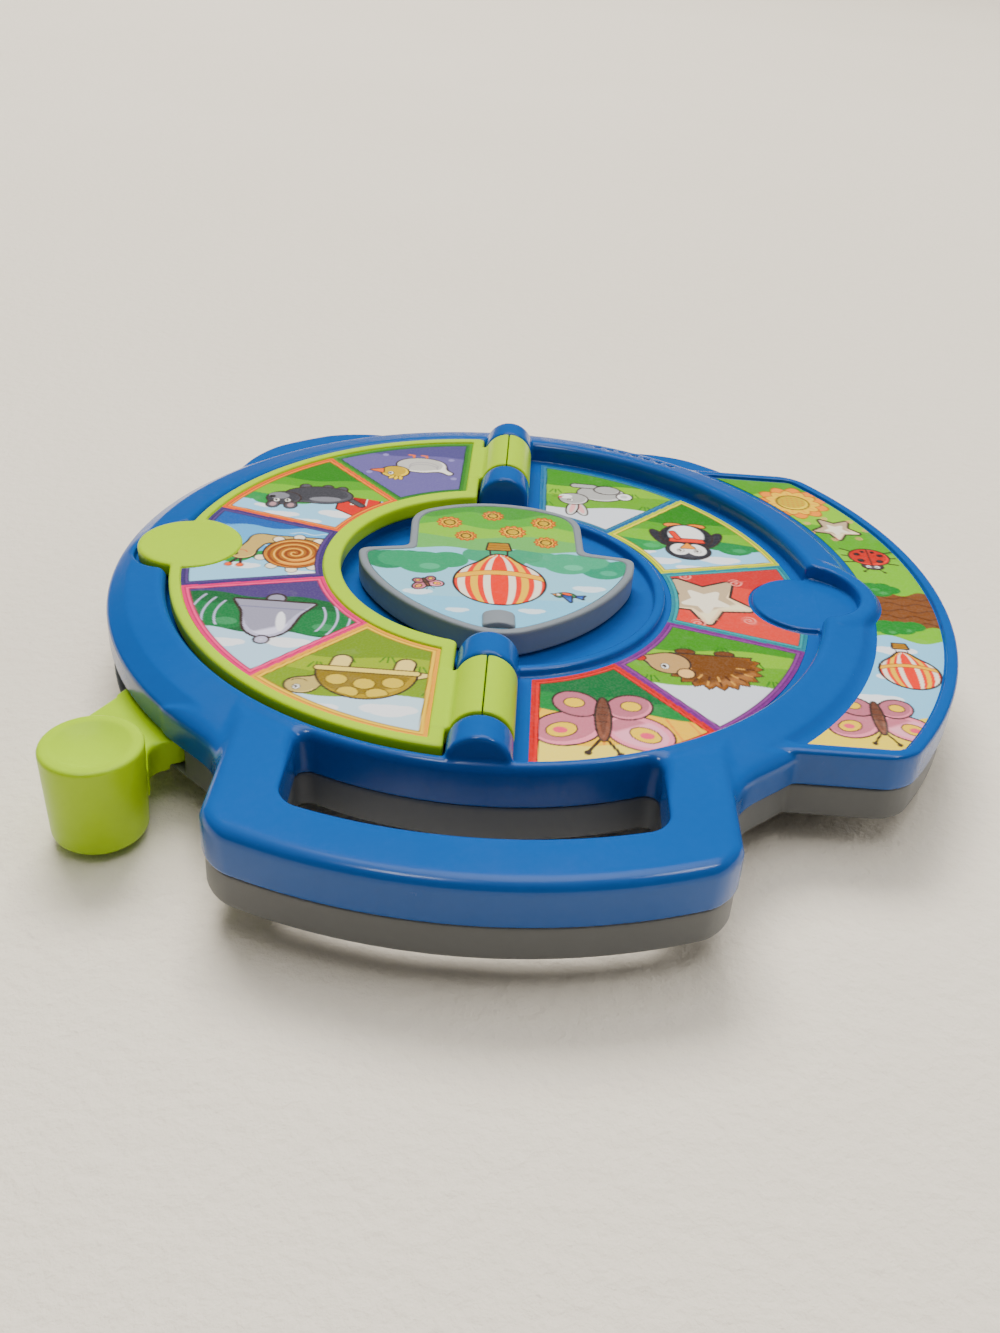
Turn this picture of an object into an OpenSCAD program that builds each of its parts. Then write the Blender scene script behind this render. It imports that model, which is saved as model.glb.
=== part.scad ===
// Animal sound spinner toy, lying flat on a table.
// Frame: +Z up, origin on the spinner axis at the table, +Y to the carry handle,
// +X to the lever, -X to the picture lobe, -Y to the two rounded feet.
// All sizes in millimetres.

/* [Housing] */
// Radius of the round body at its wall
body_r = 118.3; // [117.8:0.1:118.6]
// Height of the seam between the two shells
seam_z = 19.6; // [19.5:0.1:19.7]
// Height of the flat rim under the gray shell
rim_z = 8.9; // [8.6:0.1:9.2]
// Shell wall thickness
wall = 2.2; // [2:0.1:2.4]
// Height of the handle's top face
handle_z = 32.9; // [32.5:0.1:33]
// Radius of the handle's outer wall at the seam
handle_r = 147.9; // [147:0.1:149]
// Half width of the handle
handle_hw = 63.6; // [63:0.1:65]
// Inner radius of the handle slot
slot_ri = 104.8; // [104.6:0.1:105.2]
// Outer radius of the handle slot
slot_ro = 132.7; // [131:0.1:133.5]
// Half width of the handle slot
slot_hw = 46.5; // [45:0.1:47]
// Radius of the picture lobe's outer wall
lobe_r = 141; // [140.5:0.1:142]
// Radius of the two rounded feet at the far side
foot_r = 128.2; // [127:0.1:129]

/* [Flip page] */
// Outer radius of the half-round page
page_r = 100; // [99.5:0.1:100.2]
// Inner radius of the page
page_ri = 48.6; // [48.4:0.1:49]
// Height of the page's upper face
page_z = 34; // [33.9:0.1:34.1]
// Thickness of the page
page_t = 5.4; // [5.2:0.1:5.4]
// Radius of the finger tab
tab_r = 15.5; // [14.5:0.1:15.8]
// Radius of the hinge barrels
barrel_r = 8.6; // [8.4:0.1:8.7]
// Radius of the hinge pins
pin_r = 2; // [1.8:0.1:2.2]

/* [Spinner] */
// Radius that the pointer reaches
pointer_r = 43.9; // [43:0.1:44.2]
// Half width of the pointer's stem
stem_hw = 28; // [26:0.5:29]
// Turn of the pointer at rest, degrees
pointer_turn = 3.2; // [0:0.1:10]
// Radius of the spinner shaft
shaft_r = 3; // [2.8:0.1:3.1]

/* [Lever] */
// Distance of the lever knob from the centre
knob_d = 140.8; // [139:0.1:142]
// Top radius of the lever knob
knob_r = 13.2; // [12.6:0.1:13.4]
// Height of the knob's top
knob_z = 29; // [28:0.1:30]

/* [Gears] */
// Module of the gear teeth
gear_m = 1.6; // [1.6:0.1:1.6]
// Share of the pitch circle that a tooth takes
tooth_fill = 0.46; // [0.42:0.01:0.47]

/* [Hidden] */
$fn = 96;

eps = 0.01;
big = 400;
floor_z = 26;               // picture floor
well_r = 49.7;              // round well of the spinner
well_z = 25;                // well floor
rim_top = 28.3;             // lip round the well
recess_r = 101;             // recess that takes the page
pad_z = 28;                 // pads under the finger tab
hinge_z = page_z - page_t / 2;
pan_z = 1;                  // underside of the pan
pan_r = 86;                 // flat radius of the pan
tab_x = 97;
notch_r = 16.6;
gray_in = 0.6;              // the gray shell steps in by this
lever_a = 46.55;            // angle of the knob
plate_z = 11.6;             // lever plate
plate_t = 3;
idler_x = -48;
gear_z = 15.6;
n_sector = 50;
n_small = 10;
n_big = 48;
n_pinion = 12;
cell_y = [-56.2, -71.2];
cell_z = 10.8;
box_x = 28.5;
spk = [-52, -79];
// screw places: x, y, top end of the boss
bosses = [[56.5, 119, 31.4], [-56.5, 119, 31.4], [78, -94.5, 26.5], [-78, -94.5, 26.5],
    [101.5, -37, 30.4], [-101.5, -37, 30.4], [-102.5, 34, 30.4], [-60, 90, 30.4]];

blue = [0.07, 0.36, 0.66];
lime = [0.68, 0.80, 0.20];
gray = [0.45, 0.45, 0.44];

// ---------- outlines ----------
module half_plane_y(y0, up = true) {
    translate([-big / 2, up ? y0 : y0 - big]) square([big, big]);
}
module handle2d(d) {
    intersection() {
        circle(r = handle_r - d, $fn = 180);
        polygon([[-handle_hw - 1.2 + d, 84], [-handle_hw + d, 112], [-handle_hw + d, 128], [-handle_hw + 6 + d, 160],
            [handle_hw - 6 - d, 160], [handle_hw - d, 128], [handle_hw - d, 112], [handle_hw + 1.2 - d, 84]]);
    }
}
module slot2d(g) {
    intersection() {
        difference() {
            circle(r = slot_ro + g, $fn = 180);
            circle(r = slot_ri - g, $fn = 180);
        }
        translate([-slot_hw - g, 60]) square([2 * slot_hw + 2 * g, 100]);
    }
}
module lobe2d(d) {
    intersection() {
        circle(r = lobe_r - d, $fn = 180);
        translate([-160, -92.5 + d]) square([150, 85.4 + 92.5 - 2 * d]);
    }
}
// one foot: straight slanted sides, an outer arc and round corners, drawn outwards along x
module foot2d(d) {
    c = [120.1, 16.16];
    n = [0.775, 0.632];
    t = c + (7 - d) * n;
    u = c * (1 + (7 - d) / norm(c));
    intersection() {
        circle(r = foot_r - d, $fn = 180);
        polygon([[95, 58.05] - d * n, t, u, 1.1 * u, [1.1 * u.x, -1.1 * u.y], [u.x, -u.y], [t.x, -t.y],
            [95 - d * n.x, d * n.y - 58.05]]);
    }
    for (q = [-1, 1]) translate([c.x, q * c.y]) circle(r = 7 - d, $fn = 64);
}
module feet2d(d) {
    rotate(-52.4) foot2d(d);
    mirror([1, 0]) rotate(-52.4) foot2d(d);
}
// half ring between two radii on the side x > x0
module half_ring2d(r0, r1, x0) {
    intersection() {
        difference() {
            circle(r = r1, $fn = 180);
            circle(r = r0, $fn = 120);
        }
        translate([x0, -big / 2]) square([big, big]);
    }
}
module slab(z0, z1) {
    translate([0, 0, z0]) linear_extrude(z1 - z0) children();
}
module rod_y(r, y0, y1, x = 0, z = 0) {
    translate([x, y0, z]) rotate([-90, 0, 0]) cylinder(r = r, h = y1 - y0, $fn = 64);
}

// ---------- top housing ----------
module ring_shell() {
    w = wall;
    rotate_extrude($fn = 180) polygon([
        [5, well_z - w], [5, well_z], [well_r, well_z], [well_r, rim_top], [well_r + 3.4, rim_top],
        [well_r + 3.8, floor_z], [recess_r, floor_z], [recess_r, 31.6], [recess_r + 0.7, 32.7],
        [recess_r + 2, 33.2], [recess_r + 3.6, 33.3], [112.5, 31.5], [body_r - 0.6, 28.9], [body_r, 27.6], [body_r, seam_z],
        [body_r - w, seam_z], [body_r - w, 27.2], [111.6, 29.4], [recess_r + w + 0.2, 30.8],
        [recess_r + w + 0.2, floor_z - w], [well_r + 2.4, floor_z - w], [well_r + 2.4, well_z - w]]);
}
module handle_shell() {
    difference() {
        intersection() {
            rotate_extrude($fn = 180) polygon([[slot_ri - 1, seam_z], [handle_r, seam_z], [handle_r - 0.4, 29.6],
                [handle_r - 1.4, 31.6], [handle_r - 4.2, handle_z], [slot_ri - 1, handle_z]]);
            slab(seam_z, handle_z + 1) difference() {
                handle2d(0);
                circle(r = slot_ri - 0.5, $fn = 180);
            }
        }
        slab(seam_z - 1, handle_z - wall) difference() {
            handle2d(wall);
            circle(r = body_r - 0.01, $fn = 180);
        }
        // ring cavity goes on under the handle's legs
        rotate_extrude($fn = 180) polygon([[recess_r + wall + 0.2, seam_z - 1], [body_r - wall, seam_z - 1],
            [body_r - wall, 27.2], [111.6, 29.4], [recess_r + wall + 0.2, 30.8]]);
    }
}
module lobe_shell() {
    difference() {
        intersection() {
            rotate_extrude($fn = 180) polygon([[100, seam_z], [lobe_r, seam_z], [lobe_r - 0.2, 28.6],
                [lobe_r - 1.9, 30.7], [100, 30.7]]);
            slab(seam_z, 31) difference() {
                lobe2d(0);
                circle(r = body_r - 1, $fn = 180);
            }
        }
        slab(seam_z - 1, 29.4 - wall) difference() {
            lobe2d(wall);
            circle(r = body_r - 0.01, $fn = 180);
        }
        slab(29.4, 32) difference() {
            lobe2d(3.6);
            circle(r = 113.2, $fn = 180);
        }
    }
}
module feet_shell() {
    difference() {
        intersection() {
            slab(seam_z, 28) difference() {
                feet2d(0);
                circle(r = body_r - 1.2, $fn = 180);
            }
            rotate_extrude($fn = 180) polygon([[0, seam_z - 1], [foot_r, seam_z - 1], [foot_r, 26.2],
                [foot_r - 1.8, 28], [0, 28]]);
        }
        slab(seam_z - 1, 28 - wall) difference() {
            feet2d(wall);
            circle(r = body_r - 0.01, $fn = 180);
        }
    }
}
// hinge knuckle along y from y0 to a bevelled end at y1 (y1 may lie below y0)
module knuckle(y0, y1) {
    q = y1 > y0 ? 1 : -1;
    l = abs(y1 - y0);
    translate([0, y0, hinge_z]) rotate([-90 * q, 0, 0]) rotate_extrude($fn = 96)
        polygon([[0, 0], [barrel_r, 0], [barrel_r, l - 1.3], [barrel_r - 1.2, l], [0, l]]);
    slab(25, hinge_z) translate([-barrel_r + 0.15, q > 0 ? y0 : y1 + 1.8]) square([2 * barrel_r - 0.3, l - 1.8]);
}
module tab_seat() {
    translate([tab_x, 0, floor_z - 0.5]) cylinder(r = notch_r - 0.4, h = pad_z - floor_z + 0.5);
    slab(seam_z, 30.2) intersection() {
        translate([tab_x, 0]) circle(r = notch_r + 2.2);
        difference() {
            circle(r = 115.8, $fn = 180);
            circle(r = recess_r + 1, $fn = 180);
        }
    }
}
module tab_bulge() {
    translate([-tab_x, 0, 0]) rotate_extrude($fn = 120) polygon([[0, seam_z], [22.8, seam_z], [22.8, 29.4],
        [21.6, 31.4], [18.2, 32.4], [0, 32.4]]);
}
module top_housing() color(blue) difference() {
    union() {
        ring_shell();
        handle_shell();
        lobe_shell();
        feet_shell();
        slab(seam_z, 30) slot2d(wall);
        difference() {
            tab_bulge();
            translate([0, 0, seam_z - 1]) cylinder(r = recess_r + 1, h = 20, $fn = 180);
        }
        tab_seat();
        mirror([1, 0, 0]) tab_seat();
        // trough under the hinge barrels
        for (s = [-1, 1]) slab(20.3, floor_z) translate([-11, s > 0 ? 52 : -recess_r - 1]) square([22, 50]);
        for (s = [-1, 1]) {
            knuckle(s * 63.2, s * 51);
            knuckle(s * 92.1, s * 103.2);
        }
        // screw bosses
        for (b = bosses) translate([b[0], b[1], seam_z]) cylinder(r = 3.4, h = b[2] - seam_z, $fn = 48);
        // seat of the idler axle
        translate([idler_x, 0, 19.2]) cylinder(r = 4, h = 5, $fn = 48);
        // seat of the spinner bush
        translate([0, 0, 21.4]) cylinder(r = 7, h = 2.6, $fn = 64);
    }
    // handle slot
    slab(0, 40) slot2d(0);
    // room for the barrels
    for (s = [-1, 1]) rod_y(9.2, s > 0 ? 63.5 : -91.8, s > 0 ? 91.8 : -63.5, 0, hinge_z);
    for (s = [-1, 1]) slab(25, 40) translate([-9.2, s > 0 ? 63.5 : -91.8]) square([18.4, 28.3]);
    // notches of the finger tab
    for (s = [-1, 1]) translate([s * tab_x, 0, pad_z]) cylinder(r = notch_r, h = 20);
    // hollow under the tab seats
    slab(seam_z - 1, pad_z - wall) difference() {
        translate([-tab_x, 0]) circle(r = 22.8 - wall);
        circle(r = recess_r + wall + 0.2, $fn = 180);
    }
    slab(seam_z - 1, pad_z - wall) intersection() {
        translate([tab_x, 0]) circle(r = notch_r + 3);
        difference() {
            circle(r = body_r - wall, $fn = 180);
            circle(r = recess_r + wall + 0.2, $fn = 180);
        }
    }
    // pilot holes of the screws
    for (b = bosses) translate([b[0], b[1], seam_z - 1]) cylinder(r = 1.4, h = b[2] - seam_z - 0.6, $fn = 32);
    // idler axle and spinner bush
    translate([idler_x, 0, 18]) cylinder(r = 1.5, h = 4, $fn = 32);
    translate([0, 0, 20]) cylinder(r = 5, h = 8, $fn = 64);
    // hinge pins
    for (s = [-1, 1]) rod_y(pin_r, s > 0 ? 54 : -99, s > 0 ? 99 : -54, 0, hinge_z);
    // sound holes
    for (i = [0 : 6]) rotate(-108 - 2.6 * i) translate([109, 0, 20]) cylinder(r = 1, h = 20, $fn = 24);
}

// ---------- bottom housing ----------
module battery_box_outer() {
    translate([-31.5, -81, 2]) cube([63, 35.2, 18]);
}
module bottom_housing() color(gray) difference() {
    union() {
        difference() {
            union() {
                rotate_extrude($fn = 180) polygon([[0, pan_z], [pan_r, pan_z], [pan_r + 6, rim_z],
                    [body_r - gray_in - 1.4, rim_z], [body_r - gray_in, rim_z + 1.4], [body_r - gray_in, seam_z],
                    [0, seam_z]]);
                slab(rim_z, seam_z) difference() {
                    union() {
                        handle2d(gray_in);
                        lobe2d(gray_in);
                        feet2d(gray_in);
                    }
                    circle(r = body_r - gray_in - 2, $fn = 180);
                }
            }
            // inside of the pan and of the ring
            rotate_extrude($fn = 180) polygon([[0, pan_z + wall], [pan_r - 1.4, pan_z + wall], [pan_r + 4.6, rim_z + wall],
                [body_r - gray_in - wall, rim_z + wall], [body_r - gray_in - wall, seam_z + 1], [0, seam_z + 1]]);
            // insides of handle, lobe and feet
            slab(rim_z + wall, seam_z + 1) difference() {
                union() {
                    handle2d(gray_in + wall);
                    lobe2d(gray_in + wall);
                    feet2d(gray_in + wall);
                }
                circle(r = body_r - gray_in - eps, $fn = 180);
            }
        }
        slab(rim_z, seam_z) slot2d(wall + 0.3);
        // battery box
        battery_box_outer();
        // hub boss of the lever and lower shaft bearing
        translate([0, 0, 2]) cylinder(r = 12, h = 13, $fn = 96);
        // idler post
        translate([idler_x, 0, 2]) cylinder(r = 4, h = 9.2, $fn = 48);
        // screw bosses
        for (b = bosses) translate([b[0], b[1], rim_z]) cylinder(r = 4.4, h = seam_z - rim_z, $fn = 48);
        // posts under the circuit board
        for (p = [[-42, 44], [0, 44], [-42, 66], [0, 66]]) translate([p[0], p[1], 2]) cylinder(r = 2.2, h = 3.5, $fn = 32);
        // resting pads
        for (a = [45, 135, 225, 315]) rotate(a) translate([76, 0, 0]) cylinder(r = 6, h = pan_z + 0.5, $fn = 48);
        cylinder(r = 10, h = pan_z + 0.5, $fn = 64);
        // stop of the lever spring
        translate([9, -20, 2]) cylinder(r = 1.8, h = 9, $fn = 32);
        // boss of the door screw
        translate([0, -44.6, 2]) cylinder(r = 3.6, h = 11, $fn = 48);
        // posts under the speaker and beside the switch
        for (p = [[-34, -80.1, 5.5], [-60.1, -62.9, 5.5], [-61.9, -94, 9.5]]) translate([p[0], p[1], p[2]])
            cylinder(r = 1.6, h = 17.6 - p[2], $fn = 32);
        for (x = [43, 61.8]) translate([x, -34, 2]) cube([1.2, 11, 4.2]);
    }
    slab(0, 40) slot2d(0.3);
    // inside of the battery box, open below for the door
    translate([-box_x, -79.4, 0]) cube([2 * box_x, 31.6, 18.6]);
    translate([-box_x - 1.2, -80.1, 0]) cube([2 * box_x + 2.4, 33, pan_z + wall]);
    translate([-5.2, -48, 0]) cube([10.4, 7.2, pan_z + wall]);
    for (x = [-20.4, 13.6]) translate([x, -82, 1.9]) cube([6.8, 2.5, 1.4]);
    // door screw
    translate([0, -44.6, 1.9]) cylinder(r = 1.25, h = 10, $fn = 32);
    // lever slot in the wall
    difference() {
        slab(rim_z + wall, seam_z + 1) intersection() {
            difference() {
                circle(r = body_r + 2, $fn = 180);
                circle(r = body_r - 8, $fn = 180);
            }
            polygon([[0, 0], [260, 2.2], [200, 226], [0, 0]]);
        }
        cylinder(r = 1, h = 1);
    }
    // lower shaft bearing, idler axle
    translate([0, 0, 6]) cylinder(r = shaft_r + 0.06, h = 20, $fn = 64);
    translate([idler_x, 0, 4]) cylinder(r = 1.5, h = 10, $fn = 32);
    // screws from below
    for (b = bosses) {
        translate([b[0], b[1], rim_z - 1]) cylinder(r = 3.1, h = 5, $fn = 48);
        translate([b[0], b[1], rim_z - 1]) cylinder(r = 1.6, h = 20, $fn = 32);
    }
    // slot of the power switch
    translate([46, -31.2, 0]) cube([14, 5.4, 6]);
}

// ---------- small fixed pieces ----------
module battery_door() color(gray) difference() {
    union() {
        translate([-box_x - 0.9, -79.8, pan_z]) cube([2 * box_x + 1.8, 32.4, wall - 0.1]);
        translate([-4.9, -48, pan_z]) cube([9.8, 6.9, wall - 0.1]);
        for (x = [-20, 14]) translate([x, -81.5, 2.1]) cube([6, 2.5, 1]);
    }
    for (i = [-3 : 3]) translate([i * 6 - 1, -77, pan_z - 1]) cube([2, 8, 1.6]);
    translate([0, -44.6, -1]) cylinder(r = 1.5, h = 10, $fn = 32);
    translate([0, -44.6, -1]) cylinder(r = 3.1, h = 3, $fn = 48);
}
// screw with a crossed head at height zh and its point at zt
module screw(zh, zt, r = 1.35, rh = 2.8, hh = 2) {
    difference() {
        union() {
            translate([0, 0, zh]) cylinder(r = rh, h = hh, $fn = 48);
            translate([0, 0, zh + hh / 2]) cylinder(r = r, h = zt - zh - hh / 2, $fn = 32);
        }
        translate([-0.4, -1.7, zh - 1]) cube([0.8, 3.4, 1 + hh / 2]);
        translate([-1.7, -0.4, zh - 1]) cube([3.4, 0.8, 1 + hh / 2]);
    }
}
module battery_door_screw() color("silver") translate([0, -44.6, 0]) screw(1.05, 11, 1.25, 2.8, 0.95);
module housing_screws() color("silver") for (b = bosses) translate([b[0], b[1], 0]) screw(rim_z + 2, b[2] - 2.4);
module batteries() for (i = [0, 1]) translate([0, cell_y[i], cell_z]) mirror([i, 0, 0]) {
    color([0.15, 0.15, 0.17]) translate([-22.5, 0, 0]) rotate([0, 90, 0]) cylinder(r = 7.2, h = 49, $fn = 64);
    color("silver") translate([26.4, 0, 0]) rotate([0, 90, 0]) cylinder(r = 2.7, h = 1.6, $fn = 32);
}
module battery_plates() color("silver") {
    translate([box_x - 0.5, -61, 5]) cube([0.5, 9.6, 11.6]);
    translate([-box_x, -76, 5]) cube([0.5, 9.6, 11.6]);
    translate([-box_x, -61, 5]) cube([0.5, 9.6, 11.6]);
    translate([box_x - 0.5, -76, 5]) cube([0.5, 9.6, 11.6]);
}
// tube along a list of points, eight-sided, all rings in planes across the path
function unit(v) = v / norm(v);
function tube_pts(p, r, k, up) = [for (i = [0 : len(p) - 1])
    let (a = p[max(i - 1, 0)], b = p[min(i + 1, len(p) - 1)], t = unit(b - a),
        s = unit(cross(t, up)), u = cross(s, t))
    for (j = [0 : k - 1]) p[i] + r * (cos(360 * j / k) * s + sin(360 * j / k) * u)];
module tube(p, r, k = 8, up = [0, 0, 1]) {
    n = len(p);
    polyhedron(points = tube_pts(p, r, k, up), faces = concat(
        [[for (j = [0 : k - 1]) j]], [[for (j = [k - 1 : -1 : 0]) (n - 1) * k + j]],
        [for (i = [0 : n - 2]) for (j = [0 : k - 1]) let (q = (j + 1) % k)
            [i * k + j, (i + 1) * k + j, (i + 1) * k + q, i * k + q]]), convexity = 6);
}
module battery_springs() color("silver") for (i = [0, 1]) translate([0, cell_y[i], cell_z]) mirror([i, 0, 0])
    tube([for (a = [0 : 30 : 1080]) [-box_x + 1 + 4.5 * a / 1080, (4.6 - 2.2 * a / 1080) * cos(a), (4.6 - 2.2 * a / 1080) * sin(a)]], 0.35, 6, [1, 0, 0]);
module circuit_board() color([0.1, 0.4, 0.2]) difference() {
    translate([-46, 40, 5.5]) cube([50, 30, 1.6]);
    for (p = [[-42, 44], [0, 44], [-42, 66], [0, 66]]) translate([p[0], p[1], 0]) cylinder(r = 1.2, h = 20, $fn = 24);
}
module sound_chip() color([0.1, 0.1, 0.1]) translate([-24, 55, 7.1]) cylinder(r1 = 6, r2 = 4.4, h = 1.6, $fn = 48);
module reed_switch() color([0.6, 0.8, 0.8]) translate([92, -4, 22.3]) cube([4, 8, 1.5]);
module power_switch() color([0.2, 0.2, 0.2]) difference() {
    translate([43, -34, 6.2]) cube([20, 11, 4.4]);
    translate([45, -31, 6.1]) cube([16, 5, 2]);
}
module switch_slider() color([0.1, 0.1, 0.1]) {
    translate([46.3, -31, 1.2]) cube([7, 5, 4.4]);
    translate([44.6, -32.6, 3.5]) cube([10.4, 8.2, 1.6]);
    translate([48.8, -29.7, 4]) cube([2, 2.4, 3.4]);
}
module speaker_frame() color([0.35, 0.35, 0.37]) translate([spk[0], spk[1], 0]) rotate_extrude($fn = 96)
    polygon([[8, 14.2], [9.5, 14.2], [16, 17.6], [18, 17.6], [18, 18.6], [15.6, 18.6], [9, 15.2], [8, 15.2]]);
module speaker_magnet() color([0.2, 0.2, 0.2]) translate([spk[0], spk[1], 11.6]) cylinder(r = 8, h = 3.6, $fn = 64);
module speaker_cone() color([0.25, 0.25, 0.22]) translate([spk[0], spk[1], 0]) rotate_extrude($fn = 96)
    polygon([[0, 15.4], [6, 15.4], [15.2, 18.6], [15.6, 18.7], [15.6, 19.2], [15, 19.2], [5.8, 16], [0, 16]]);
module battery_wires() {
    color("firebrick") tube([[-29, -45.6, 10], [-29, -43.5, 9.6], [-29, -41, 7.4], [-29, -38, 5], [-28.4, -33, 4.2], [-27, -24, 4.2],
        [-26, -10, 4.2], [-26, 10, 4.2], [-26, 30, 4.3], [-25.6, 39, 4.7], [-25.6, 43, 4.9]], 0.55, 8);
    color([0.1, 0.1, 0.1]) tube([[-26.4, -45.6, 10], [-26.4, -43.5, 9.6], [-26.4, -41, 7.4], [-26.4, -38, 5], [-25.8, -33, 4.2], [-24.4, -24, 4.2],
        [-23.4, -10, 4.2], [-23.4, 10, 4.2], [-23.4, 30, 4.3], [-23, 39, 4.7], [-23, 43, 4.9]], 0.55, 8);
}
module speaker_wires() {
    color("gold") tube([[-50, -60.2, 16.4], [-51, -57, 14], [-54, -52, 8], [-58, -44, 4.6], [-61, -34, 4.2], [-62, -20, 4.2], [-62, 10, 4.2],
        [-54, 28, 4.2], [-43, 36, 4.4], [-34, 41, 4.9]], 0.5, 8);
    color("white") tube([[-47.4, -60.2, 16.4], [-48.4, -56.6, 14], [-51.4, -51, 8], [-55.4, -43, 4.6], [-58.4, -33.4, 4.2], [-59.4, -20, 4.2],
        [-59.4, 9.2, 4.2], [-52.2, 26, 4.2], [-41.4, 33.8, 4.4], [-31, 41, 4.9]], 0.5, 8);
}

// ---------- pictures ----------
module base_picture(s) intersection() {
    slab(floor_z, floor_z + 0.3) difference() {
        circle(r = 97.4, $fn = 180);
        circle(r = 55.4, $fn = 120);
        for (q = [-1, 1]) translate([q * tab_x, 0]) circle(r = notch_r + 0.6);
    }
    translate([s > 0 ? 12.6 : -big - 12.6, -big / 2, 0]) cube([big, big, 60]);
}
module base_pictures_left() color([0.95, 0.93, 0.7]) base_picture(1);
module base_pictures_right() color([0.95, 0.93, 0.7]) base_picture(-1);
module mural_picture() color([0.5, 0.72, 0.4]) slab(29.4, 29.65) difference() {
    lobe2d(4);
    circle(r = 117.2, $fn = 180);
    translate([-tab_x, 0]) circle(r = 23.2);
}
module hinge_pins() color("silver") for (s = [-1, 1]) rod_y(pin_r, s > 0 ? 54 : -99, s > 0 ? 99 : -54, 0, hinge_z);

// ---------- flip page ----------
module page2d(d) {
    half_ring2d(page_ri + d, page_r - d, 9.2 + d);
}
module flip_page() color(lime) difference() {
    union() {
        difference() {
            slab(page_z - page_t, page_z) page2d(0);
            slab(page_z - 1, page_z + 1) difference() {
                half_ring2d(page_ri + 5.4, page_r - 3.4, 13.2);
                translate([tab_x, 0]) circle(r = tab_r + 1);
            }
            slab(page_z - page_t - 1, page_z - page_t + 1) difference() {
                half_ring2d(page_ri + 5.4, page_r - 3.4, 13.2);
                translate([tab_x, 0]) circle(r = tab_r + 1);
            }
        }
        translate([tab_x, 0, page_z - page_t]) cylinder(r = tab_r, h = page_t);
        for (s = [-1, 1]) {
            rod_y(barrel_r, s > 0 ? 63.9 : -91.4, s > 0 ? 91.4 : -63.9, 0, hinge_z);
            slab(page_z - page_t, page_z) translate([2, s > 0 ? 63.9 : -91.4]) square([11, 27.5]);
        }
    }
    for (s = [-1, 1]) {
        rod_y(pin_r + 0.06, s > 0 ? 60 : -95, s > 0 ? 95 : -60, 0, hinge_z);
        // seat of the hinge caps and the seam along the barrel
        translate([-20, s > 0 ? 63 : -92.5, hinge_z - 20]) cube([20.25, 29.5, 40]);
    }
    // magnet pocket in the tab
    translate([tab_x + 3, 0, page_z - page_t - 1]) cylinder(r = 4, h = 3, $fn = 48);
}
module hinge_caps() color(lime) for (s = [-1, 1]) difference() {
    rod_y(barrel_r, s > 0 ? 63.9 : -91.4, s > 0 ? 91.4 : -63.9, 0, hinge_z);
    rod_y(pin_r + 0.06, s > 0 ? 60 : -95, s > 0 ? 95 : -60, 0, hinge_z);
    translate([-0.05, -100, hinge_z - 20]) cube([20, 200, 40]);
}
module page_picture() difference() {
    half_ring2d(page_ri + 5.6, page_r - 3.6, 13.4);
    translate([tab_x, 0]) circle(r = tab_r + 1.2);
}
module page_front_pictures() color([0.9, 0.8, 0.7]) slab(page_z - 1, page_z - 0.75) page_picture();
module page_back_pictures() color([0.9, 0.8, 0.7]) slab(page_z - page_t + 0.75, page_z - page_t + 1) page_picture();
module page_magnet() color("silver") translate([tab_x + 3, 0, page_z - page_t + 0.2]) cylinder(r = 3.9, h = 1.7, $fn = 48);

// ---------- spinner ----------
module pointer2d(d) {
    rotate(pointer_turn) difference() {
        union() {
            intersection() {
                translate([-22.5, -21.7]) circle(r = 69.5 - d, $fn = 180);
                translate([22.5, -21.7]) circle(r = 69.5 - d, $fn = 180);
                translate([-pointer_r + d, -20]) square([2 * pointer_r - 2 * d, 62.6 - d]);
                polygon([[-50, -6 + d], [-stem_hw, -10.4 + d], [stem_hw, -10.4 + d], [50, -6 + d], [50, 60], [-50, 60]]);
            }
            intersection() {
                circle(r = pointer_r - d, $fn = 120);
                translate([-stem_hw + d, -60]) square([2 * stem_hw - 2 * d, 64]);
            }
        }
    }
}
module spinner_tray() color([0.55, 0.57, 0.6]) difference() {
    union() {
        difference() {
            slab(25.7, page_z) pointer2d(0);
            slab(25, 31) pointer2d(1.8);
            slab(page_z - 0.5, 40) pointer2d(2.4);
        }
        translate([0, 0, 25.7]) cylinder(r = 6.5, h = 6, $fn = 64);
        rotate(pointer_turn) translate([-5.6, 31.5, 31]) cube([11.2, 9.4, 2.5]);
    }
    translate([0, 0, 25]) cylinder(r = shaft_r, h = 7, $fn = 64);
    rotate(pointer_turn) translate([-2, 33.5, 30]) cube([4, 4, 5]);
}
module spinner_picture() color([0.6, 0.75, 0.85]) slab(page_z - 0.5, page_z - 0.25) difference() {
    pointer2d(2.6);
    rotate(pointer_turn) translate([-6.2, 30.8]) square([12.4, 20]);
}
module pointer_tip() color([0.55, 0.57, 0.6]) rotate(pointer_turn) {
    translate([-1.8, 33.7, 31.2]) cube([3.6, 3.6, 3]);
    intersection() {
        translate([-5, 31.6, 33.5]) cube([10, 8, 3]);
        translate([0, 45, 25.2]) rotate([90, 0, 0]) cylinder(r = 10.6, h = 20, $fn = 96);
    }
}
module spinner_shaft() color("silver") translate([0, 0, 7]) cylinder(r = shaft_r, h = 25, $fn = 64);
module clutch_drum() color("ivory") difference() {
    translate([0, 0, 18.95]) cylinder(r = 5.4, h = 1.15, $fn = 64);
    translate([0, 0, 15]) cylinder(r = shaft_r, h = 10, $fn = 64);
}
module wiper_disc() color([0.75, 0.6, 0.3]) difference() {
    union() {
        translate([0, 0, 20.1]) cylinder(r = 20, h = 0.7, $fn = 96);
    }
    translate([0, 0, 15]) cylinder(r = shaft_r, h = 10, $fn = 64);
}
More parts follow.
